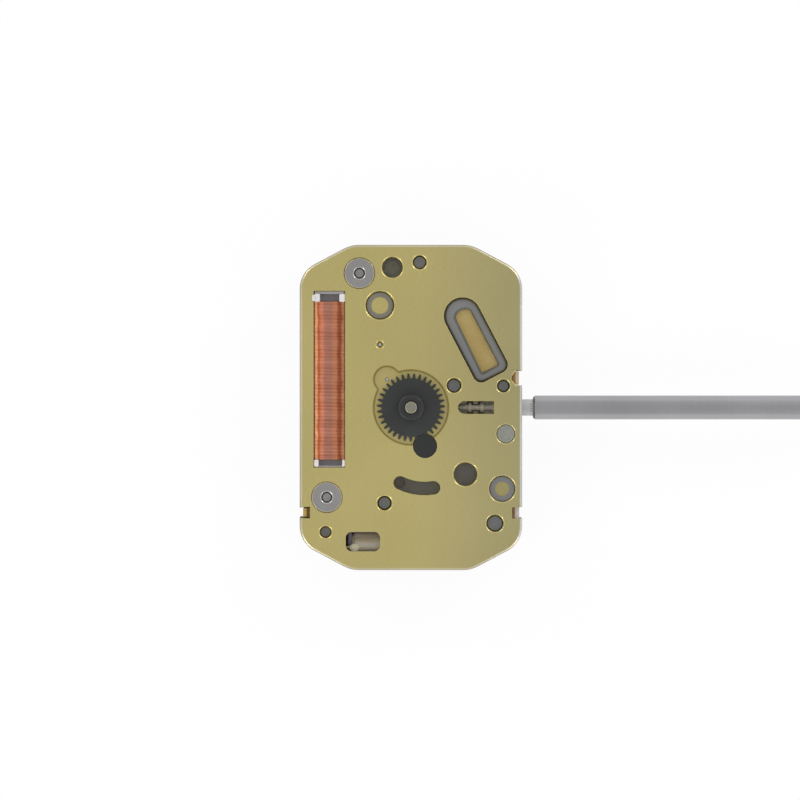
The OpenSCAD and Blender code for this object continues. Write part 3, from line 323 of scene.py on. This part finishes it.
def square_seam(bm):
    """Sets the seam in the flat top that runs at a slant to the rim square to it."""
    rim = max((e for e in bm.edges if all(v.co.x > 4.56 * MM and v.co.z > -1e-6 for v in e.verts)),
              key=lambda e: e.calc_length())
    for end in rim.verts:
        for seam in end.link_edges:
            far = seam.other_vert(end)
            slanted = abs(far.co.y - end.co.y) > MM
            if seam is not rim and far.co.z > -1e-6 and far.co.x < 4.5 * MM and slanted:
                other = rim.other_vert(end)
                share = (far.co.y - end.co.y) / (other.co.y - end.co.y)
                new_vert = bmesh.utils.edge_split(rim, end, share)[1]
                bmesh.ops.connect_verts(bm, verts=[new_vert, far])
                bmesh.ops.dissolve_edges(bm, edges=[seam])
                return


plate_face = finish("brushed olive gold", (0.565, 0.485, 0.200), (0.635, 0.545, 0.228), 0.40, 1.0,
                    (7000, 60000, 9000), bump=0.12, tone=130, streak=0.045)
t = plate_face.node_tree
place = add(t, "ShaderNodeTexCoord").outputs["Object"]
split = add(t, "ShaderNodeSeparateXYZ", Vector=place)
# Painted shade and painted grey reflection: the plate is painted darker and greyer towards the stem
painted_shade_to_stem = add(t, "ShaderNodeMapRange", [("interpolation_type", "SMOOTHSTEP")], Value=split.outputs["X"],
             From_Min=-0.8 * MM, From_Max=5.0 * MM, To_Min=0.0, To_Max=1.0)
stain(plate_face, painted_shade_to_stem.outputs[0], (0.80, 0.83, 1.00))
# Painted shade: a dark line is painted round the two round recesses, where their walls cast shade
hand_recess_r, pivot_recess_r, pivot_recess_at = 1.55, 0.55, (-0.99, 1.16)
rings = []
for centre, radius in (((0, 0), hand_recess_r), (pivot_recess_at, pivot_recess_r)):
    rings.append(add(t, "ShaderNodeGroup", [("node_tree", ring_group)], Vector=place,
                     Centre=(centre[0] * MM, centre[1] * MM, 0), Radius=radius * MM, Width=0.055 * MM))
for ring, other in (rings, rings[::-1]):
    painted_recess_shade = add(t, "ShaderNodeMath", [("operation", "MULTIPLY")],
               _0=ring.outputs["Mask"], _1=other.outputs["Outside"])
    stain(plate_face, painted_recess_shade.outputs[0], (0.42, 0.34, 0.16))
plate_edge = finish("polished gold edge", (0.80, 0.66, 0.25), (0.90, 0.76, 0.32), 0.22, 1.0,
                    (20000, 20000, 20000), bump=0.05, streak=0.03, rough_swing=0.04)
plate_side = finish("dull plated rim", (0.60, 0.53, 0.33), (0.70, 0.62, 0.40), 0.36, 1.0,
                    (20000, 20000, 20000), bump=0.05, streak=0.05)
# The rim is greyer at the stem's side
t = plate_side.node_tree
split = add(t, "ShaderNodeSeparateXYZ", Vector=add(t, "ShaderNodeTexCoord").outputs["Object"])
stem_side_x = 4.40 * MM
right_side = add(t, "ShaderNodeMath", [("operation", "GREATER_THAN")],
                 _0=split.outputs["X"], _1=stem_side_x)
stain(plate_side, right_side.outputs[0], (0.96, 1.08, 1.60))


def stays_sharp(c):
    """Whether an edge of the plate is a pillar's seat or lies in the depth of a side notch."""
    in_seat = 0.3 < min(apart(c, *p) for p in pillars) < 0.75
    return in_seat or (abs(c.x) > 4.0 and c.z < -0.05)


rounded("main_plate", "pressed_plate", 0.022, [plate_face, plate_edge, plate_side],
        wide=(plate_rim, 0.075, 2), leave=stays_sharp, mend=square_seam)

# The notch over the upper hook narrows to its inner wall: a wedge of plate in each corner
wedge_x, wedge_low, wedge_t = 4.165, -0.13, 0.128
bm = bmesh.new()
for outer_x, wall_y, inner_y in ((4.37, 0.885, 1.13), (4.34, 1.545, 1.30)):
    corner = [bm.verts.new(Vector((x, y, wedge_low)) * MM)
              for x, y in ((wedge_x, wall_y), (outer_x, wall_y), (wedge_x, inner_y))]
    grown = bmesh.ops.extrude_face_region(bm, geom=[bm.faces.new(corner)])
    lifted = [v for v in grown["geom"] if isinstance(v, bmesh.types.BMVert)]
    bmesh.ops.translate(bm, vec=(0, 0, wedge_t * MM), verts=lifted)
bmesh.ops.recalc_face_normals(bm, faces=bm.faces)


def is_slant(e):
    """Whether a wedge's upper edge runs slantwise across the notch."""
    run = (e.verts[0].co - e.verts[1].co) / MM
    return all(v.co.z > -0.01 * MM for v in e.verts) and abs(run.x) > 0.1 and abs(run.y) > 0.1


ease(bm, [e for e in bm.edges if is_slant(e)], 0.03, 3, 1)
piece("notch_corner", bm, [plate_face, plate_edge])

# Plastic frame
# Moulded grey frame under the plate; its lip fills the slanted window, and its pegs stand in
# the plate's small holes. The brass rivet that holds it stands in a grey ring.
frame_grey = finish("moulded grey plastic", (0.150, 0.150, 0.150), (0.190, 0.190, 0.190), 0.48, 0.0,
                    (30000, 30000, 30000), bump=0.2, streak=0.05)
# A darker copy of the frame's grey for the lip's rounded edges: painted shade where they fall into the
# gaps
lip_shade = finish("painted shade on the frame's lip", (0.066, 0.068, 0.070), (0.085, 0.087, 0.090), 0.50, 0.0,
                   (30000, 30000, 30000), bump=0.2, streak=0.05)
# Painted light in the notches: the frame's floor is painted brown inside, a painted shade, and pale at
# its rim, a painted highlight.
# The can's trough and the walls beside the stem's nose are painted pale, as painted light in these deep,
# shaded places.
t = frame_grey.node_tree
coords = add(t, "ShaderNodeTexCoord")
place = coords.outputs["Object"]
split = add(t, "ShaderNodeSeparateXYZ", Vector=place)
facing = add(t, "ShaderNodeSeparateXYZ", Vector=coords.outputs["Normal"])
upward = add(t, "ShaderNodeMath", [("operation", "GREATER_THAN")], _0=facing.outputs["Z"], _1=0.5)
middle_z, half_depth = -1.20 * MM, 0.75 * MM
low = add(t, "ShaderNodeMath", [("operation", "COMPARE")],
          _0=split.outputs["Z"], _1=middle_z, _2=half_depth)
painted_notch_floor = add(t, "ShaderNodeMath", [("operation", "MULTIPLY")], _0=low.outputs[0], _1=upward.outputs[0])
# Painted brown shade inside the notches, then painted pale light at their rim
for edge_x, tint in ((4.05, (1.95, 1.15, 0.60)), (4.29, (2.30, 3.60, 7.00))):
    past = add(t, "ShaderNodeMapRange", Value=split.outputs["X"],
               From_Min=edge_x * MM, From_Max=(edge_x + 0.04) * MM)
    mask = add(t, "ShaderNodeMath", [("operation", "MULTIPLY")],
               _0=past.outputs[0], _1=painted_notch_floor.outputs[0])
    stain(frame_grey, mask.outputs[0], tint)
can_at, nose_at = (-1.95, -5.45), (2.70, 0)
near_can, near_nose = 1.0, 1.2
# Painted light in the can's trough
round_can = add(t, "ShaderNodeGroup", [("node_tree", ring_group)], Vector=place,
                Centre=(can_at[0] * MM, can_at[1] * MM, 0), Radius=near_can * MM)
painted_light_in_trough = add(t, "ShaderNodeMath", [("operation", "SUBTRACT"), ("use_clamp", True)],
             _0=low.outputs[0], _1=round_can.outputs["Outside"])
stain(frame_grey, painted_light_in_trough.outputs[0], (3.6, 3.5, 3.6))
# Painted light on the walls beside the stem's nose
round_nose = add(t, "ShaderNodeGroup", [("node_tree", ring_group)], Vector=place,
                 Centre=(nose_at[0] * MM, nose_at[1] * MM, 0), Radius=near_nose * MM)
painted_light_by_nose = add(t, "ShaderNodeMath", [("operation", "SUBTRACT"), ("use_clamp", True)],
             _0=low.outputs[0], _1=round_nose.outputs["Outside"])
stain(frame_grey, painted_light_by_nose.outputs[0], (4.2, 3.9, 3.3))

# The slanted opening runs from its round end at window_at to its square end, window_end away
window_at, window_turn = Vector((2.13, 3.78)), math.radians(-62.5)
window_r, window_end = 0.42, 2.48
left_shift, left_shift_less, top_shift = 0.125, 0.075, 0.17


def draw_in_window(bm):
    """Narrows the frame's slanted opening: its band is wider at the left and at the top."""
    along = Vector((math.cos(window_turn), math.sin(window_turn)))
    across = Vector((-along.y, along.x))
    for v in bm.verts:
        off = v.co.xy / MM - window_at
        u, w = off.dot(along), off.dot(across)
        past_round_end = u < 0 and math.hypot(u, w) > window_r + 0.01
        if u > window_end + 0.01 or abs(w) > window_r + 0.01 or past_round_end:
            continue
        down = min(max(u / window_end, 0), 1)
        share = (w / window_r + 1) / 2
        shift = (1 - share) * (left_shift - left_shift_less * down)
        rise = top_shift * max(-u, 0) / window_r
        v.co.xy += (along * rise + across * shift) * MM


def on_lip(c):
    """Whether a place in mm is on the top edge of the lip in the slanted window."""
    return -0.14 < c.z < -0.10 and apart(c, 2.7, 2.9) < 2.65 and c.y > 0.9 and c.x > 1.1


rounded("movement_frame", "moulded_frame", 0.02, [frame_grey, lip_shade],
        paint=lambda c, n: 0, wide=(on_lip, 0.09, 1), mend=draw_in_window)
# Painted light: the lip is painted paler at its right side
across = Vector((-math.sin(window_turn), math.cos(window_turn)))
t = lip_shade.node_tree
over = add(t, "ShaderNodeVectorMath", [("operation", "DOT_PRODUCT")],
           _0=add(t, "ShaderNodeTexCoord").outputs["Object"], _1=(across.x, across.y, 0))
painted_light_right = add(t, "ShaderNodeMapRange", Value=over.outputs["Value"],
                 From_Min=(window_at.dot(across) - 0.5) * MM, From_Max=(window_at.dot(across) + 0.5) * MM)
stain(lip_shade, painted_light_right.outputs[0], (1.9, 1.85, 1.6))

# Pegs of the frame, each with its place and radius in mm
peg_top, peg_foot = -0.20, -0.60
pegs = ((0.36, 6.00, 0.245), (1.78, 0.91, 0.26), (3.82, 0.89, 0.22), (3.47, -4.79, 0.31),
        (-1.095, -3.95, 0.25), (-3.53, -5.15, 0.21))


def disc(bm, x, y, radius, low, high, round_by, around=40):
    """A round disc with a rounded upper edge, in mm."""
    half_way = (low + high) / 2 * MM
    made = bmesh.ops.create_cone(bm, cap_ends=True, segments=around, radius1=radius * MM,
                                 radius2=radius * MM, depth=(high - low) * MM,
                                 matrix=Matrix.Translation((x * MM, y * MM, half_way)))
    rim = {e for v in made["verts"] for e in v.link_edges if all(w.co.z > half_way for w in e.verts)}
    ease(bm, list(rim), round_by, 3)


bm = bmesh.new()
for x, y, radius in pegs:
    disc(bm, x, y, radius, peg_foot, peg_top, 0.03)
peg_grey = finish("peg grey", (0.146, 0.151, 0.158), (0.180, 0.187, 0.197), 0.50, 0.0,
                  (30000, 30000, 30000), bump=0.2, streak=0.05)
piece("frame_pegs", bm, [peg_grey])
riveted = finish("turned brass", (0.42, 0.36, 0.152), (0.49, 0.43, 0.20), 0.34, 1.0,
                 (26000, 26000, 26000), streak=0.05)
dress("frame_rivet", riveted)

# Coil
# Enamelled copper wire wound in one outer layer over the inner layers, on a flat iron core.
# Dark grey end blocks hold it, with a drop of white resin at each corner.
coil_x, coil_y0, coil_y1 = -3.368, -2.15, 4.38
coil_top, coil_low = -0.045, -1.43
half_top_w, half_low_w, flat = 0.640, 0.625, 0.45
wire_r = 0.026
turns = 112


def section(grow):
    """Outline of the winding across the coil, in mm, going round once."""
    right = [(half_top_w + grow, coil_top - 0.06), (half_low_w + grow, -0.56),
             (half_low_w + grow, coil_low + 0.26), (flat, coil_low - grow)]
    return right + [(-x, z) for x, z in right[::-1]] + [(-flat, coil_top + grow), (flat, coil_top + grow)]


corners = section(-wire_r)
sides = len(corners)
round_by = 0.10
around = []
for k in range(sides):
    before, here, after = (Vector(corners[(k + d) % sides]) for d in (-1, 0, 1))
    around += [here.lerp(before, round_by), here.lerp(after, round_by)]
stops_round = len(around)
lengths = [(around[(k + 1) % stops_round] - around[k]).length for k in range(stops_round)]
gone = [sum(lengths[:k]) / sum(lengths) for k in range(stops_round)]
curve = bpy.data.curves.new("copper_wire_layer", "CURVE")
curve.dimensions = "3D"
curve.bevel_depth, curve.bevel_resolution, curve.use_fill_caps = wire_r * MM, 1, True
spline = curve.splines.new("POLY")
spline.points.add(turns * stops_round)
pitch = (coil_y1 - coil_y0 - 2 * wire_r) / turns
for k in range(turns * stops_round + 1):
    p = around[k % stops_round]
    y = coil_y0 + wire_r + pitch * (k // stops_round + gone[k % stops_round])
    spline.points[k].co = ((coil_x + p.x) * MM, y * MM, p.y * MM, 1)
strand = bpy.data.objects.new("copper_wire_curve", curve)
bpy.context.collection.objects.link(strand)
wire_mesh = bpy.data.meshes.new_from_object(strand.evaluated_get(bpy.context.evaluated_depsgraph_get()))
bpy.data.objects.remove(strand)
bm = bmesh.new()
bm.from_mesh(wire_mesh)
under = [bm.verts.new(((coil_x + x) * MM, coil_y0 * MM, z * MM)) for x, z in section(-1.6 * wire_r)]
cap = bm.faces.new(under)
grown = bmesh.ops.extrude_face_region(bm, geom=[cap])
bmesh.ops.translate(bm, vec=(0, (coil_y1 - coil_y0) * MM, 0),
                    verts=[v for v in grown["geom"] if isinstance(v, bmesh.types.BMVert)])
bmesh.ops.recalc_face_normals(bm, faces=bm.faces)

copper = bpy.data.materials.new("enamelled copper wire")
copper.use_nodes = True
t = copper.node_tree
shader = t.nodes["Principled BSDF"]
place = add(t, "ShaderNodeTexCoord").outputs["Object"]
split = add(t, "ShaderNodeSeparateXYZ", Vector=place)
wobble = add(t, "ShaderNodeTexNoise", Vector=place, Scale=1500.0, Detail=4.0)
shift = add(t, "ShaderNodeMapRange", Value=wobble.outputs["Fac"],
            From_Min=0.3, From_Max=0.7, To_Min=-0.035 * MM, To_Max=0.035 * MM)
side = add(t, "ShaderNodeMath", [("operation", "ADD")], _0=split.outputs["X"], _1=shift.outputs[0])
across = add(t, "ShaderNodeMapRange", Value=side.outputs[0],
             From_Min=(coil_x - half_top_w) * MM, From_Max=(coil_x + half_top_w) * MM)
# The colour across the coil paints light over the copper's own hue: a painted highlight on its left flank
# and painted shade lines along the two edges of its top
light_and_shade_ramp = add(t, "ShaderNodeValToRGB", Fac=across.outputs[0])
light_and_shade_stops = [(0.00, (0.91, 0.50, 0.28)), (0.06, (0.95, 0.49, 0.29)), (0.10, (0.86, 0.38, 0.21)),
         (0.125, (0.56, 0.15, 0.045)), (0.175, (0.54, 0.15, 0.040)), (0.215, (0.70, 0.26, 0.15)),
         (0.28, (0.70, 0.25, 0.145)), (0.36, (0.47, 0.20, 0.13)), (0.55, (0.46, 0.19, 0.135)),
         (0.63, (0.56, 0.23, 0.115)), (0.73, (0.55, 0.22, 0.105)), (0.77, (0.36, 0.105, 0.034)),
         (0.86, (0.30, 0.060, 0.014)), (0.89, (0.45, 0.14, 0.070)), (0.93, (0.56, 0.27, 0.16)),
         (1.00, (0.70, 0.41, 0.22))]
while len(light_and_shade_ramp.color_ramp.elements) < len(light_and_shade_stops):
    light_and_shade_ramp.color_ramp.elements.new(0.5)
for stop, (at, colour) in zip(light_and_shade_ramp.color_ramp.elements, light_and_shade_stops):
    stop.position = at
    stop.color = (*colour, 1)
bands = add(t, "ShaderNodeGroup", [("node_tree", lines_group)],
            Vector=place, Stretch=(700, 16000, 700), Detail=4.0)
tint = add(t, "ShaderNodeMapRange", Value=bands.outputs[0],
           From_Min=0.3, From_Max=0.7, To_Min=0.84, To_Max=1.14)
toned = add(t, "ShaderNodeVectorMath", [("operation", "SCALE")],
            _0=light_and_shade_ramp.outputs["Color"], Scale=tint.outputs[0])
t.links.new(toned.outputs[0], shader.inputs["Base Color"])
shader.inputs["Metallic"].default_value = 0.30
shader.inputs["Roughness"].default_value = 0.46
piece("copper_wire_layer", bm, [copper], hides=("winding_turns", "coil_winding"), crease=50)

core_metal = finish("annealed core metal", (0.13, 0.13, 0.14), (0.19, 0.19, 0.20), 0.42, 0.9,
                    (12000, 12000, 12000))
end_metal = finish("dark end block", (0.150, 0.140, 0.148), (0.21, 0.195, 0.205), 0.48, 0.3,
                   (12000, 12000, 12000))
# The pale strip along each end block stands for the block's lit top edge: a painted highlight
lit_edge_strip_metal = finish("pale end strip", (0.34, 0.335, 0.33), (0.44, 0.435, 0.43), 0.40, 0.6,
                     (12000, 12000, 12000))
dress("coil_core", core_metal)
dress("stator", core_metal)
rounded("coil_end_blocks", "coil_end_holders", 0.03, [end_metal])


def box(bm, x, y, z, round_by, steps=2):
    """A box between pairs of limits in mm, with all its edges rounded."""
    middle = Vector((sum(x), sum(y), sum(z))) * MM / 2
    size = Matrix.Diagonal(Vector((x[1] - x[0], y[1] - y[0], z[1] - z[0], 1 / MM)) * MM)
    made = bmesh.ops.create_cube(bm, size=1, matrix=Matrix.Translation(middle) @ size)
    ease(bm, list({e for v in made["verts"] for e in v.link_edges}), round_by, steps)


block_top = -0.20
bm = bmesh.new()
for y0, y1 in ((4.69, 4.812), (-2.475, -2.40)):
    box(bm, (coil_x - 0.62, coil_x + 0.62), (y0, y1), (block_top - 0.02, block_top + 0.15), 0.02)
piece("coil_end_strips", bm, [lit_edge_strip_metal])
resin = finish("white resin", (0.63, 0.61, 0.60), (0.78, 0.77, 0.76), 0.35, 0.0,
               (9000, 9000, 9000), streak=0.04)
bm = bmesh.new()
for ends, x_near, x_far in (((4.365, 4.70), -0.640, -0.392), ((4.365, 4.70), 0.405, 0.640),
                            ((-2.45, -2.155), -0.640, -0.450), ((-2.45, -2.155), 0.520, 0.640)):
    box(bm, (coil_x + x_near, coil_x + x_far), ends, (block_top - 0.02, block_top + 0.21), 0.05, 3)
# The drop at the upper left has run over the edge of the plate
box(bm, (-4.09, -3.97), (4.405, 4.65), (0.002, 0.034), 0.015)
piece("resin_drops", bm, [resin], hides=("coil_corner_pads",))

# Pillars and coil screws
# Turned steel pillars with wide satin heads let into the plate, each with a screw up its bore.
# The head's rim is rolled down, so it melts into the plate.
pillar_steel = finish("satin pillar steel", (0.320, 0.305, 0.305), (0.385, 0.368, 0.368), 0.38, 0.9,
                      (22000, 22000, 22000), streak=0.05)
pillar_rim = finish("rolled pillar rim", (0.46, 0.42, 0.31), (0.54, 0.49, 0.36), 0.36, 0.9,
                    (22000, 22000, 22000), streak=0.05)
bright_steel = finish("polished steel", (0.60, 0.60, 0.60), (0.72, 0.72, 0.72), 0.20, 1.0,
                      (22000, 22000, 22000), streak=0.04, rough_swing=0.05)
rounded("coil_pillars", "pillar_heads", 0.014, [pillar_steel, bright_steel, pillar_rim],
        wide=(lambda c: c.z > -0.03 and min(apart(c, *p) for p in pillars) > 0.5, 0.05, 2))
dress("coil_screws", finish("grey screw end", (0.25, 0.245, 0.24), (0.34, 0.335, 0.33), 0.40, 0.9,
                            (15000, 15000, 15000)))

# Rotor and its seat
# Grey plastic seat with a gold bush for the rotor's upper pivot; magnet and arbor below it.
# The seat's rim is rounded by its mould.
seat_grey = finish("moulded seat grey", (0.165, 0.155, 0.125), (0.215, 0.200, 0.165), 0.45, 0.0,
                   (20000, 20000, 20000))
rounded("rotor_seat", "rotor_seat_ring", 0.04, [seat_grey])
bush_gold = finish("bush gold", (0.59, 0.50, 0.185), (0.70, 0.61, 0.26), 0.30, 1.0,
                   (15000, 15000, 15000), streak=0.05)
dress("rotor_bush", bush_gold)
dress("bridge_bushes", bush_gold)
dress("rotor_magnet", finish("sintered magnet", (0.06, 0.06, 0.062), (0.09, 0.09, 0.092), 0.5, 0.6,
                             (15000, 15000, 15000)))

# Train
# Brass wheels pressed on hardened steel arbors whose pinions are cut from the same rod.
# Their pivot ends show as bright dots in the plate.
arbor_steel = finish("hardened steel", (0.50, 0.49, 0.48), (0.62, 0.61, 0.60), 0.22, 1.0,
                     (16000, 16000, 16000))
wheel_brass = finish("wheel brass", (0.66, 0.51, 0.21), (0.76, 0.60, 0.27), 0.30, 1.0,
                     (16000, 16000, 16000))
for name in ("rotor_arbor", "intermediate_arbor", "third_arbor"):
    dress(name, arbor_steel)
for name in ("intermediate_wheel", "third_wheel", "centre_wheel", "setting_wheel_mid", "setting_wheel"):
    dress(name, wheel_brass)

# Motion work
# Dark moulded hour wheel with its pipe, driven by the minute wheel, whose pinion has a flat cap.
# The steel minute post stands up through the pipe.
dark_plastic = finish("dark moulded plastic", (0.017, 0.0185, 0.0180), (0.027, 0.029, 0.028), 0.46, 0.0,
                      (15000, 15000, 15000), streak=0.08)
rounded("hour_wheel", "moulded_hour_wheel", 0.014, [dark_plastic], body="hour_set")
rounded("minute_wheel", "moulded_minute_wheel", 0.012, [dark_plastic],
        body="minute_wheel_set")
bm = bmesh.new()
disc(bm, 0.58, -1.59, 0.485, -0.017, -0.003, 0.006, around=56)
cap_plastic = finish("matt cap plastic", (0.007, 0.0075, 0.0075), (0.012, 0.0125, 0.0125), 0.60, 0.0,
                     (15000, 15000, 15000), streak=0.05)
piece("minute_pinion_cap", bm, [cap_plastic], body="minute_wheel_set")
post_steel = finish("minute post steel", (0.290, 0.278, 0.225), (0.370, 0.355, 0.290), 0.30, 1.0,
                    (12000, 12000, 12000))
dress("minute_arbor", post_steel)

# Stem and setting work
# Satin turned steel stem with its two collars and its square; clutch, slide, yoke and spring are
# pressed steel. The bright stud in the plate carries the setting wheel.
stem_steel = finish("satin turned stem", (0.355, 0.355, 0.368), (0.405, 0.405, 0.422), 0.30, 0.95,
                    (30000, 900, 900), bump=0.04, streak=0.02, rough_swing=0.02)
journal_steel = finish("bright turned journal", (0.50, 0.51, 0.52), (0.58, 0.59, 0.60), 0.34, 0.9,
                       (30000, 900, 900), bump=0.04, streak=0.02, rough_swing=0.02)
# Near-white, matt steel for the stem's inner end and the clutch: painted light in the deep stem slot
slot_light_steel = finish("setting steel painted light", (0.88, 0.85, 0.82), (0.95, 0.92, 0.90), 0.50, 0.0,
                       (9000, 9000, 9000))
journal_from, journal_to = 4.3, 5.0
rounded("stem", "turned_stem", 0.015, [stem_steel, stem_steel, slot_light_steel, journal_steel],
        body="stem_set", paint=lambda c, n: 2 if c.x < journal_from else 3 if c.x < journal_to else 0)
rounded("clutch_pinion", "cut_clutch_pinion", 0.015, [slot_light_steel], body="clutch_set")
lever_steel = finish("pressed lever steel", (0.42, 0.41, 0.40), (0.54, 0.53, 0.52), 0.30, 1.0,
                     (9000, 26000, 9000))
for name in ("yoke", "jumper_spring", "stop_lever"):
    dress(name, lever_steel)
dress("setting_slide", finish("matt pressed slide", (0.50, 0.43, 0.33), (0.60, 0.52, 0.40), 0.50, 0.1,
                              (9000, 26000, 9000)))
stud_steel = finish("stud steel", (0.310, 0.317, 0.282), (0.372, 0.380, 0.332), 0.38, 0.9,
                    (15000, 15000, 15000))
dress("setting_stud", stud_steel)

# Quartz can and contacts
# Drawn nickel silver can with two leads; gold plated spring contacts and the gold panel in the
# slanted window. The can lies in its trough under a rounded window of the plate.
can_metal = finish("drawn can metal", (0.60, 0.555, 0.52), (0.72, 0.67, 0.63), 0.44, 0.55,
                   (2500, 22000, 22000), streak=0.06)
t = can_metal.node_tree
place = add(t, "ShaderNodeTexCoord").outputs["Object"]
split = add(t, "ShaderNodeSeparateXYZ", Vector=place)
# Painted light on the can's upper flank, in the shade of the window's wall
painted_light_flank = add(t, "ShaderNodeMapRange", [("interpolation_type", "SMOOTHSTEP")], Value=split.outputs["Y"],
            From_Min=-5.48 * MM, From_Max=-5.24 * MM, To_Min=0.0, To_Max=1.0)
stain(can_metal, painted_light_flank.outputs[0], (1.5, 1.5, 1.45))
# Painted highlight on the can's nose
painted_highlight_nose = add(t, "ShaderNodeMapRange", Value=split.outputs["X"],
           From_Min=-2.40 * MM, From_Max=-2.34 * MM, To_Min=1.0, To_Max=0.0)
stain(can_metal, painted_highlight_nose.outputs[0], (1.6, 1.65, 1.75))
rounded("quartz_can", "drawn_quartz_can", 0.05, [can_metal])
# A step of the frame closes the trough at the can's nose, with a pale ledge at its foot
step_grey = finish("shaded frame step", (0.22, 0.205, 0.30), (0.30, 0.285, 0.40), 0.50, 0.0,
                   (9000, 9000, 9000))
ledge_pale = finish("pale ledge", (0.60, 0.48, 0.40), (0.70, 0.57, 0.48), 0.45, 0.0,
                    (9000, 9000, 9000))
bm = bmesh.new()
box(bm, (-2.615, -2.445), (-6.20, -5.20), (-1.60, -0.95), 0.03)
piece("trough_step", bm, [step_grey])
bm = bmesh.new()
box(bm, (-2.76, -2.43), (-5.83, -5.745), (-0.86, -0.78), 0.02)
piece("trough_ledge", bm, [ledge_pale])
# A flat, bright drop lies on the can's nose
drop_at, drop_size = Vector((-2.34, -5.81, -0.745)), Vector((0.21, 0.17, 0.07, 1 / MM))
bright_drop = finish("bright drop", (0.86, 0.87, 0.78), (0.95, 0.95, 0.86), 0.30, 0.1,
                (9000, 9000, 9000))
bm = bmesh.new()
bmesh.ops.create_uvsphere(bm, u_segments=32, v_segments=16, radius=1,
                          matrix=Matrix.Translation(drop_at * MM) @ Matrix.Diagonal(drop_size * MM))
piece("bright_can_drop", bm, [bright_drop])
dress("quartz_leads", bright_steel)
panel_gold = finish("gold panel", (0.58, 0.43, 0.165), (0.69, 0.53, 0.23), 0.34, 1.0,
                    (9000, 9000, 9000), tone=500)
dress("contact_panel", panel_gold)
contact_gold = finish("contact gold", (0.74, 0.56, 0.22), (0.84, 0.66, 0.28), 0.24, 1.0,
                      (9000, 26000, 9000))
dress("negative_contact", contact_gold)
dress("positive_contact", contact_gold)

# Train bridge, circuit and back
# Pressed bridge, green circuit board with its potted chip, and the gold plated back cover over
# them. Two slotted screws hold the cover; its hooks snap into the notches of the plate.
bridge_grey = finish("grey oxidised bridge", (0.36, 0.36, 0.30), (0.46, 0.46, 0.39), 0.45, 0.8,
                     (16000, 16000, 16000))
# Painted light: it is painted pale where it closes the stem's slot, in the slot's deep shade
t = bridge_grey.node_tree
round_stem = add(t, "ShaderNodeGroup", [("node_tree", ring_group)],
                 Vector=add(t, "ShaderNodeTexCoord").outputs["Object"],
                 Centre=(nose_at[0] * MM, nose_at[1] * MM, 0), Radius=near_nose * MM)
painted_light_under_slot = add(t, "ShaderNodeMath", [("operation", "SUBTRACT")],
                 _0=1.0, _1=round_stem.outputs["Outside"])
stain(bridge_grey, painted_light_under_slot.outputs[0], (0.95, 0.88, 0.74), "MIX")
dress("train_bridge", bridge_grey)
dress("bridge_screws", bright_steel)
board = finish("green solder mask", (0.012, 0.075, 0.035), (0.02, 0.10, 0.05), 0.35, 0.0,
               (9000, 9000, 9000))
dress("circuit_board", board)
dress("circuit_chip", finish("potting resin", (0.012, 0.012, 0.012), (0.02, 0.02, 0.02), 0.30, 0.0,
                             (9000, 9000, 9000)))
cover_gold = finish("plated cover sheet", (0.64, 0.48, 0.18), (0.74, 0.58, 0.24), 0.32, 1.0,
                    (60000, 6000, 9000))
cover_edge = finish("bright cover edge", (0.86, 0.70, 0.28), (0.94, 0.80, 0.36), 0.20, 1.0,
                    (9000, 9000, 9000))
cover_inside = finish("bare inside of the cover", (0.10, 0.10, 0.065), (0.15, 0.145, 0.10), 0.60, 0.2,
                      (9000, 9000, 9000))
# The hooks are bright where they rise through the plate; their fingers are painted brown as painted
# shade, darker at the left hook
hook_gold_and_shade = finish("hook gold and painted shade", (0.30, 0.15, 0.06), (0.37, 0.19, 0.08), 0.50, 0.4, (9000, 9000, 9000))
t = hook_gold_and_shade.node_tree
split = add(t, "ShaderNodeSeparateXYZ", Vector=add(t, "ShaderNodeTexCoord").outputs["Object"])
aside = add(t, "ShaderNodeMath", [("operation", "ABSOLUTE")], _0=split.outputs["X"])
riser = add(t, "ShaderNodeMapRange", Value=aside.outputs[0], From_Min=4.30 * MM, From_Max=4.35 * MM)
left_side = add(t, "ShaderNodeMath", [("operation", "LESS_THAN")], _0=split.outputs["X"], _1=0.0)
# Painted shade, deeper on the left hook
stain(hook_gold_and_shade, left_side.outputs[0], (0.45, 0.55, 0.20))
stain(hook_gold_and_shade, riser.outputs[0], (0.58, 0.48, 0.34), "MIX")
left_riser = add(t, "ShaderNodeMath", [("operation", "MULTIPLY")],
                 _0=left_side.outputs[0], _1=riser.outputs[0])
stain(hook_gold_and_shade, left_riser.outputs[0], (1.0, 0.84, 0.36))


def cover_finish(c, n):
    """Material number of a face of the cover: its inside, its hooks or its sheet."""
    if n.z > 0.9 and c.z < -1.5:
        return 2
    return 3 if c.z > -0.3 else 0


rounded("back_cover", "plated_back_cover", 0.02, [cover_gold, cover_edge, cover_inside, hook_gold_and_shade],
        paint=cover_finish)
rounded("cover_screws", "slotted_cover_screws", 0.02, [bright_steel])

# Cell
# Button cell: drawn steel can, nylon seal and a cap pressed into it, with fine turned rings on
# its back. It lifts out of its pocket towards the back.
cell_at, ring_scale = (2.0, -3.4), 4200.0
cell_steel = finish("cell steel", (0.58, 0.58, 0.58), (0.68, 0.68, 0.68), 0.28, 1.0,
                    (16000, 16000, 16000), bump=0.03, streak=0.03)
t = cell_steel.node_tree
off_centre = add(t, "ShaderNodeVectorMath", [("operation", "SUBTRACT")],
                 _0=add(t, "ShaderNodeTexCoord").outputs["Object"],
                 _1=(cell_at[0] * MM, cell_at[1] * MM, 0))
turned = add(t, "ShaderNodeTexWave", [("wave_type", "RINGS"), ("rings_direction", "Z")],
             Vector=off_centre.outputs[0], Scale=ring_scale, Distortion=0.4)
stain(cell_steel, turned.outputs["Fac"], (0.70, 0.70, 0.71))
rounded("cell_can", "drawn_cell_can", 0.10, [cell_steel], body="cell_set", steps=3)
dress("cell_cap", cell_steel)
dress("cell_gasket", finish("nylon seal", (0.62, 0.62, 0.58), (0.70, 0.70, 0.66), 0.4, 0.0,
                            (9000, 9000, 9000)))
